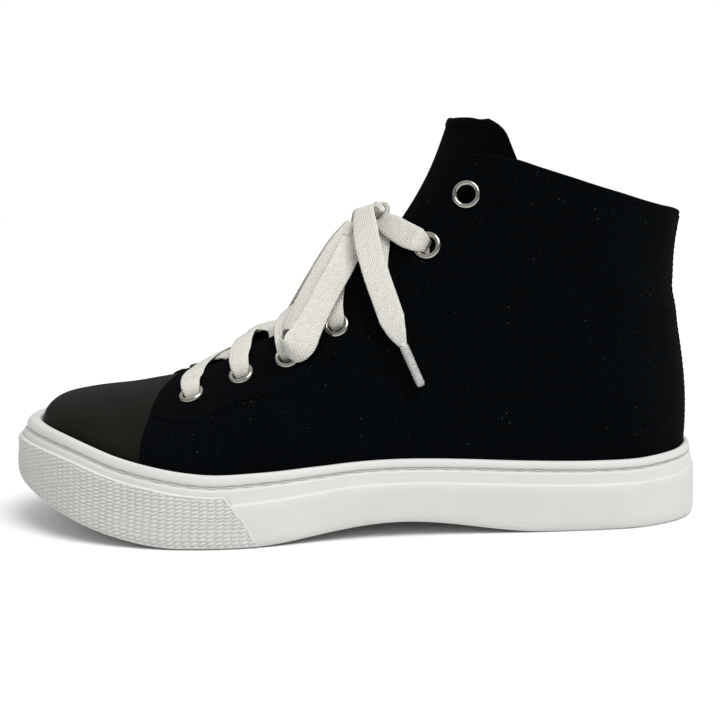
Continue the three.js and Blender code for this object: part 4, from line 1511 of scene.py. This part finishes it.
def lace_line(points, normals, widths, count):
    """A lace's centres, its width directions and its widths, through a few places."""
    centres = smooth_through(points, count)
    gaps = np.linalg.norm(np.diff(np.array(points), axis=0), axis=1)
    run = np.concatenate([[0], np.cumsum(gaps)]) / gaps.sum()
    t = np.linspace(0, 1, count)
    normal = unit(between(t, run, normals))
    tangent = unit(np.gradient(centres, axis=0))
    return centres, np.cross(normal, tangent), np.interp(t, run, widths)


def strand(draft, points, normals, widths, count=40):
    """A short length of lace through a few places."""
    ribbon(draft, *lace_line(points, normals, widths, count), settings().lace_thickness)


def make_crossings():
    """Each comes out of an eyelet, over the facings' edges, and in behind the next eyelet."""
    made = []
    w = settings().lace_width
    for index in range(5):
        draft = Draft()
        to_ridge, to_far = (0.58, 2 / 3) if index < 4 else (0.3, 0.3)
        turn, up = EYELETS["turn"][index], EYELETS["up"][index]
        for side in (1, -1):
            start, start_normal = eyelet_place(index, side)
            end, end_normal = eyelet_place(index + 1, -side)
            ridge, ridge_normal, ridge_turn = ridge_place(start * (1 - to_ridge) + end * to_ridge)
            over = 1.3 if (side > 0) == (index % 2 == 0) else 0.2
            rise_height, lip_height = (2.3, 1.5) if side > 0 else (1.3, 0.9)
            lip_up, slim = (0.93, 1.0) if side > 0 else (0.8, 0.6)
            rise = on_form(on_side(turn + 0.0012, side), up + (0.9 - up) * 0.55, rise_height)
            lip_place = on_side(turn + 0.0055, side)
            lip = on_form(lip_place, lip_up, lip_height)
            far = on_side(ridge_turn * (1 - to_far) + EYELETS["turn"][index + 1] * to_far, -side)
            way = unit(rise - start)
            points = [
                start - start_normal * 3.0 - way * 0.4,
                start + start_normal * 0.1 + way * 0.2,
                start + start_normal * 1.9 + way * 2.6,
                rise, lip,
                ridge + ridge_normal * over,
                on_form(far, 0.86, -1.0),
                on_form(far, 0.72, -2.75),
                end - end_normal * 2.75,
            ]
            normals = [
                start_normal * 0.3 - way, start_normal * 0.5 - way, start_normal - way * 0.5,
                start_normal, form_normal(lip_place, lip_up), ridge_normal,
                form_normal(far, 0.86), form_normal(far, 0.72), end_normal,
            ]
            widths = [5.0, 5.8, w * 0.72, w * 0.88, w * 0.8 * slim, w * 0.84 * slim, w * 0.8,
                      w * 0.8, w * 0.8]
            strand(draft, points, normals, widths, 90)
        made.append(draft.make(f"white_lace_{index + 1}", [cotton()], LACE_WELD,
                               [f"lace_crossing_{index + 1}"]))
    return made


def throat_axes():
    """Directions down the throat and out of it, at the knot."""
    tilt = math.radians(THROAT_TILT)
    return (np.array((math.cos(tilt), 0, -math.sin(tilt))),
            np.array((math.sin(tilt), 0, math.cos(tilt))))


def make_knot():
    """A small cushion with wraps round it, and the ways in of all that meets there."""
    draft = Draft()
    along, out = throat_axes()
    over = np.array((0, 1, 0))
    middle = np.array(KNOT)
    thick = settings().lace_thickness
    angle = np.linspace(0, 2 * math.pi, 49)
    heart = [(0, -2.6), (3.2, -2.2), (4.5, -0.8), (4.6, 0.6), (3.8, 1.9), (2.2, 2.6), (0, 2.8)]
    lathe(draft, middle, out, heart, 32, closed=False)
    wraps = columns(
        ("width", "yaw", "size", "shift", "lean"),
        (6.6, 0.15, 1.0, 0.6, 0.0), (5.0, -0.3, 0.88, -1.8, 0.15), (4.0, 0.4, 0.9, 3.0, -0.2),
    )
    for width, yaw, size, shift, lean in zip(*wraps.values()):
        way = along * math.cos(yaw) + over * math.sin(yaw)
        centres = (
            middle + over * shift
            + way * (4.6 * size * np.cos(angle))[:, None]
            + unit(out + over * lean) * (2.9 * size * np.sin(angle))[:, None]
        )
        side = np.cross(out, way)
        ribbon(draft, centres, np.repeat(side[None], len(angle), axis=0), width, thick * 1.2)
    for side in (1, -1):
        flip = np.array((1, side, 1))
        loop = rows_of(LOOP_ROUTE) * flip
        end = rows_of(END_ROUTE) * flip
        # The loop's two ways into the knot, then the end's.
        core = middle + out * 0.4 + over * side * 1.0
        strand(draft, [loop[1] * 0.4 + loop[0] * 0.6, loop[0], (loop[0] + core) / 2, core],
               [np.array((-0.05, 0.9, 0.4)) * flip, np.array((0.3, 0.75, 0.6)) * flip,
                np.array((0.5, 0.4, 0.7)) * flip, out], [9.6, 9.2, 7.0, 5.0])
        strand(draft, [loop[-2] * 0.4 + loop[-1] * 0.6, loop[-1], (loop[-1] + core) / 2, core],
               [np.array((0.6, -0.3, 0.7)) * flip] * 2 + [out, out], [9.2, 8.8, 7.0, 5.0])
        top = middle + out * 3.6 + over * side * 0.5
        strand(draft, [end[1] * 0.4 + end[0] * 0.6, end[0], (end[0] + top) / 2, top],
               [np.array((0.3, 0.1, 0.95)) * flip] * 2 + [out, out], [9.0, 8.6, 7.6, 6.4])
        # The lace from the sixth eyelet.
        start, start_normal = eyelet_place(5, side)
        entry = middle + along * 1.0 + over * side * 5.0 - out * 1.6
        if side > 0:
            lip = np.array((-21.6, 20.6, 114.6))
            near_knot = np.array((-15.2, 13.4, 118.6))
        else:
            lip = on_form(on_side(0.257, side), 0.5, 1.6)
            near_knot = on_form(on_side(0.245, side), 0.66, 1.4)
        way = unit(lip - start)
        strand(
            draft,
            [start - start_normal * 3.2 + way * 0.6, start + start_normal * 0.4 + way * 1.0,
             start + start_normal * 2.4 + way * 3.8, lip, near_knot, entry],
            [start_normal + way * 0.8, start_normal - way * 0.6, start_normal - way * 0.2,
             unit(start_normal + out * 0.3), unit(start_normal * 0.7 + out * 0.6), out],
            [5.6, 6.6, 9.4, 10.2, 9.4, 6.5] if side > 0 else [5.6, 6.4, 7.4, 7.4, 7, 6], 80,
        )
        # The same lace where it comes out under the knot.
        low = middle + along * 2.4 + over * side * 5.2 - out * 1.4
        strand(draft, [low, low + (1.0, side * 3.4, -3.2), low + (1.2, side * 5.0, -8.6)],
               [np.array((-0.5, 0.85, 0.2)) * flip] * 3, [5.0, 6.4, 6.8], 24)
    return draft.make("white_lace_knot", [cotton()], LACE_WELD, ["lace_knot"])


def route_line(route, side, count=120):
    """A hanging piece's line on the outer side (1) or the inner one (-1)."""
    return smooth_through(rows_of(route) * (1, side, 1), count)


def faced(centres, faces, side):
    """Width directions along a line, from the way its flat face looks at a few places."""
    rows = np.array(faces, float)
    t = np.linspace(0, 1, len(centres))
    normal = unit(between(t, rows[:, 0], rows[:, 1:]) * (1, side, 1))
    return np.cross(normal, unit(np.gradient(centres, axis=0)))


def line_length(points):
    return float(np.linalg.norm(np.diff(points, axis=0), axis=1).sum())


def make_bow():
    """On each side a loop, and an end with its sleeve. These are the lace's free lengths."""
    thick, wide = settings().lace_thickness, settings().lace_width
    made = []
    for side, word in ((1, "outer"), (-1, "inner")):
        draft = Draft()
        loop = route_line(LOOP_ROUTE, side)
        t = np.linspace(0, 1, len(loop))
        width = wide * (0.96 + 0.3 * np.exp(-(((t - 0.46) / 0.08) ** 2)))
        ribbon(draft, loop, faced(loop, LOOP_FACES, side), width, thick)
        piece = draft.make(f"white_lace_loop_{word}", [cotton()], LACE_WELD,
                           [f"lace_loop_{word}"])
        made.append(piece)

        draft = Draft()
        end = route_line(END_ROUTE, side)
        t = np.linspace(0, 1, len(end))
        width = wide * np.interp(t, *END_WIDTHS)
        depth = thick * np.interp(t, *END_DEPTHS)
        ribbon(draft, end, faced(end, END_FACES, side), width, depth)
        piece = draft.make(f"white_lace_end_{word}", [cotton()], LACE_WELD,
                           [f"lace_end_{word}"])
        sleeve = make_aglet(side, word)
        made += [piece, sleeve]
    return made


def make_aglet(side, word):
    """A clear sleeve shrunk on the folded end of the lace."""
    draft = Draft()
    points = rows_of(AGLET_ROUTE) * (1, side, 1)
    way = unit(points[1] - points[0])
    length = line_length(points)
    sleeve = [(0.0, 0.35), (1.55, 0.35), (1.74, 0.5), (1.78, 1.2), (1.72, 6), (1.7, 12),
              (1.66, length - 1), (1.5, length - 0.35), (1.2, length), (0.0, length)]
    core = [(0.0, -0.6), (1.25, -0.6), (1.3, 0.8), (1.18, 7), (1.12, length - 1.6),
            (0.8, length - 0.9), (0.0, length - 0.8)]
    lathe(draft, points[0], way, sleeve, 28, 0, closed=False)
    lathe(draft, points[0], way, core, 24, 1, closed=False)
    clear = sleeve_finish("Clear sleeve", (0.9, 0.91, 0.92))
    return draft.make(f"clear_sleeve_{word}", [clear, cotton()], LACE_WELD,
                      [f"aglet_{word}"])


# ------------------------------------------------------------------ the stage

# The camera's place in millimetres and its angles in degrees.
CAMERA = {"place": (14.515, 559.986, 138.041), "yaw": -1.759, "pitch": 7.546, "roll": -1.033,
          "lens": 69.593}
# Half the floor's width in metres, and the soft sun's spread in degrees and its direction.
FLOOR_REACH = 4.0
SUN_ANGLE = 38
SUN_WAY = (0.3, -0.5, -0.85)


def make_camera():
    yaw, pitch, roll = (math.radians(CAMERA[name]) for name in ("yaw", "pitch", "roll"))
    forward = Vector((math.sin(yaw) * math.cos(pitch), -math.cos(yaw) * math.cos(pitch),
                      -math.sin(pitch)))
    right = forward.cross(Vector((0, 0, 1))).normalized()
    up = right.cross(forward)
    level = right * math.cos(roll) + up * math.sin(roll)
    top = up * math.cos(roll) - right * math.sin(roll)
    data = bpy.data.cameras.new("Camera")
    data.sensor_width = 36
    data.lens = CAMERA["lens"]
    data.clip_start = 0.01
    camera = bpy.data.objects.new("Camera", data)
    place = Matrix((level, top, -forward)).transposed().to_4x4()
    place.translation = Vector(in_frame(CAMERA["place"]))
    camera.matrix_world = place
    bpy.context.scene.collection.objects.link(camera)
    bpy.context.scene.camera = camera
    return camera


def make_stage():
    """A pale floor, a sky that is brighter overhead, and a soft sun."""
    floor = bpy.data.meshes.new("studio_floor")
    square = ((-1, -1, 0), (1, -1, 0), (1, 1, 0), (-1, 1, 0))
    floor.from_pydata([Vector(corner) * FLOOR_REACH for corner in square], [], [(0, 1, 2, 3)])
    floor.materials.append(floor_finish("Pale floor", (0.9, 0.9, 0.9)))
    stage = bpy.data.objects.new("studio_floor", floor)
    bpy.context.scene.collection.objects.link(stage)
    world = bpy.data.worlds.new("Studio")
    world.use_nodes = True
    n = Nodes(world.node_tree)
    background = world.node_tree.nodes["Background"]
    direction = n.add("ShaderNodeTexCoord").outputs["Generated"]
    height = n.add("ShaderNodeSeparateXYZ", {0: direction}).outputs[2]
    dome = n.clamp_range(height, 0.0, 1.0, settings().side_light, settings().sky_light)
    seen = n.add("ShaderNodeLightPath").outputs["Is Camera Ray"]
    strength = n.math("MAXIMUM", seen, dome)
    world.node_tree.links.new(strength, background.inputs["Strength"])
    background.inputs["Color"].default_value = (1, 1, 1, 1)
    bpy.context.scene.world = world
    lamp = bpy.data.lights.new("Soft sun", "SUN")
    lamp.energy = settings().sun_light
    lamp.angle = math.radians(SUN_ANGLE)
    sun = bpy.data.objects.new("Soft sun", lamp)
    sun.rotation_euler = Vector(SUN_WAY).to_track_quat("-Z", "Y").to_euler()
    bpy.context.scene.collection.objects.link(sun)
    bpy.context.scene.view_settings.view_transform = "Standard"


# ------------------------------------------------------------------ the add-on


class SneakerSettings(bpy.types.PropertyGroup):
    canvas_colour: FloatVectorProperty(
        name="Canvas colour", description="Colour of the canvas between its threads",
        default=(0.0008, 0.0012, 0.0016), min=0, max=1, size=3, subtype="COLOR")
    leather_colour: FloatVectorProperty(
        name="Leather colour", description="Colour of the toe cap",
        default=(0.0088, 0.0078, 0.0062), min=0, max=1, size=3, subtype="COLOR")
    rubber_colour: FloatVectorProperty(
        name="Rubber colour", description="Colour of the sole and the toe bumper",
        default=(0.6, 0.61, 0.585), min=0, max=1, size=3, subtype="COLOR")
    lace_colour: FloatVectorProperty(
        name="Lace colour", description="Colour of the cotton lace",
        default=(0.84, 0.825, 0.755), min=0, max=1, size=3, subtype="COLOR")
    weave_pitch: FloatProperty(
        name="Weave pitch", description="Width of one thread of the canvas, in millimetres",
        default=0.85, min=0.2, max=3)
    sole_stitch: FloatProperty(
        name="Sole stitch", description="Distance between the sole's stitches, in millimetres",
        default=7.0, min=2, max=15)
    lace_width: FloatProperty(
        name="Lace width", description="Width of the flat lace, in millimetres",
        default=10.4, min=4, max=14)
    lace_thickness: FloatProperty(
        name="Lace thickness", description="Thickness of the flat lace, in millimetres",
        default=1.1, min=0.4, max=2)
    sky_light: FloatProperty(
        name="Light from above", description="Strength of the light overhead",
        default=0.88, min=0, max=5)
    side_light: FloatProperty(
        name="Light from the sides", description="Strength of the light at the horizon",
        default=0.12, min=0, max=5)
    sun_light: FloatProperty(
        name="Soft sun", description="Strength of the soft lamp over the shoe's outer side",
        default=2.4, min=0, max=20)


class SNEAKER_OT_camera(bpy.types.Operator):
    """Put the camera beside the shoe's outer side"""
    bl_idname = "sneaker.camera"
    bl_label = "Camera"
    bl_options = {"REGISTER", "UNDO"}

    def execute(self, context):
        make_camera()
        return {"FINISHED"}


class SNEAKER_OT_lace(bpy.types.Operator):
    """Make the crossings, the knot, the loops, the ends and their sleeves"""
    bl_idname = "sneaker.lace"
    bl_label = "Lace and bow"
    bl_options = {"REGISTER", "UNDO"}

    def execute(self, context):
        make_crossings()
        make_knot()
        make_bow()
        return {"FINISHED"}


class SNEAKER_OT_sole(bpy.types.Operator):
    """Make the rubber sole with its stitching and tread"""
    bl_idname = "sneaker.sole"
    bl_label = "Sole"
    bl_options = {"REGISTER", "UNDO"}

    def execute(self, context):
        make_sole()
        return {"FINISHED"}


class SNEAKER_OT_bumper(bpy.types.Operator):
    """Make the grained rubber bumper round the toe"""
    bl_idname = "sneaker.bumper"
    bl_label = "Toe bumper"
    bl_options = {"REGISTER", "UNDO"}

    def execute(self, context):
        make_bumper()
        return {"FINISHED"}


class SNEAKER_OT_insole(bpy.types.Operator):
    """Make the insole"""
    bl_idname = "sneaker.insole"
    bl_label = "Insole"
    bl_options = {"REGISTER", "UNDO"}

    def execute(self, context):
        make_insole()
        return {"FINISHED"}


class SNEAKER_OT_upper(bpy.types.Operator):
    """Make the canvas upper, its facings, its heel strip and its stitching"""
    bl_idname = "sneaker.upper"
    bl_label = "Canvas upper"
    bl_options = {"REGISTER", "UNDO"}

    def execute(self, context):
        make_upper()
        make_facings()
        make_heel_strip()
        make_seams()
        return {"FINISHED"}


class SNEAKER_OT_toe_cap(bpy.types.Operator):
    """Make the leather toe cap"""
    bl_idname = "sneaker.toe_cap"
    bl_label = "Toe cap"
    bl_options = {"REGISTER", "UNDO"}

    def execute(self, context):
        make_toe_cap()
        return {"FINISHED"}


class SNEAKER_OT_tongue(bpy.types.Operator):
    """Make the canvas tongue with its hem"""
    bl_idname = "sneaker.tongue"
    bl_label = "Tongue"
    bl_options = {"REGISTER", "UNDO"}

    def execute(self, context):
        make_tongue()
        return {"FINISHED"}


class SNEAKER_OT_eyelets(bpy.types.Operator):
    """Make the fourteen nickel eyelets"""
    bl_idname = "sneaker.eyelets"
    bl_label = "Eyelets"
    bl_options = {"REGISTER", "UNDO"}

    def execute(self, context):
        make_eyelets()
        return {"FINISHED"}


class SNEAKER_OT_stage(bpy.types.Operator):
    """Make the pale floor and the soft light"""
    bl_idname = "sneaker.stage"
    bl_label = "Stage"
    bl_options = {"REGISTER", "UNDO"}

    def execute(self, context):
        make_stage()
        return {"FINISHED"}


OPERATORS = (
    SNEAKER_OT_camera, SNEAKER_OT_lace, SNEAKER_OT_sole, SNEAKER_OT_bumper, SNEAKER_OT_insole,
    SNEAKER_OT_upper, SNEAKER_OT_toe_cap, SNEAKER_OT_tongue, SNEAKER_OT_eyelets,
    SNEAKER_OT_stage,
)


class SNEAKER_PT_panel(bpy.types.Panel):
    bl_idname = "SNEAKER_PT_panel"
    bl_label = "High top sneaker"
    bl_space_type = "VIEW_3D"
    bl_region_type = "UI"
    bl_category = "Sneaker"

    def draw(self, context):
        for name in SneakerSettings.__annotations__:
            self.layout.prop(context.scene.sneaker, name)
        for operator in OPERATORS:
            self.layout.operator(operator.bl_idname)


CLASSES = (SneakerSettings, *OPERATORS, SNEAKER_PT_panel)


def register():
    for cls in CLASSES:
        bpy.utils.register_class(cls)
    bpy.types.Scene.sneaker = PointerProperty(type=SneakerSettings)


def unregister():
    del bpy.types.Scene.sneaker
    for cls in reversed(CLASSES):
        bpy.utils.unregister_class(cls)


def main():
    register()
    for operator in OPERATORS:
        getattr(bpy.ops.sneaker, operator.bl_idname.split(".")[1])()


if __name__ == "__main__":
    main()
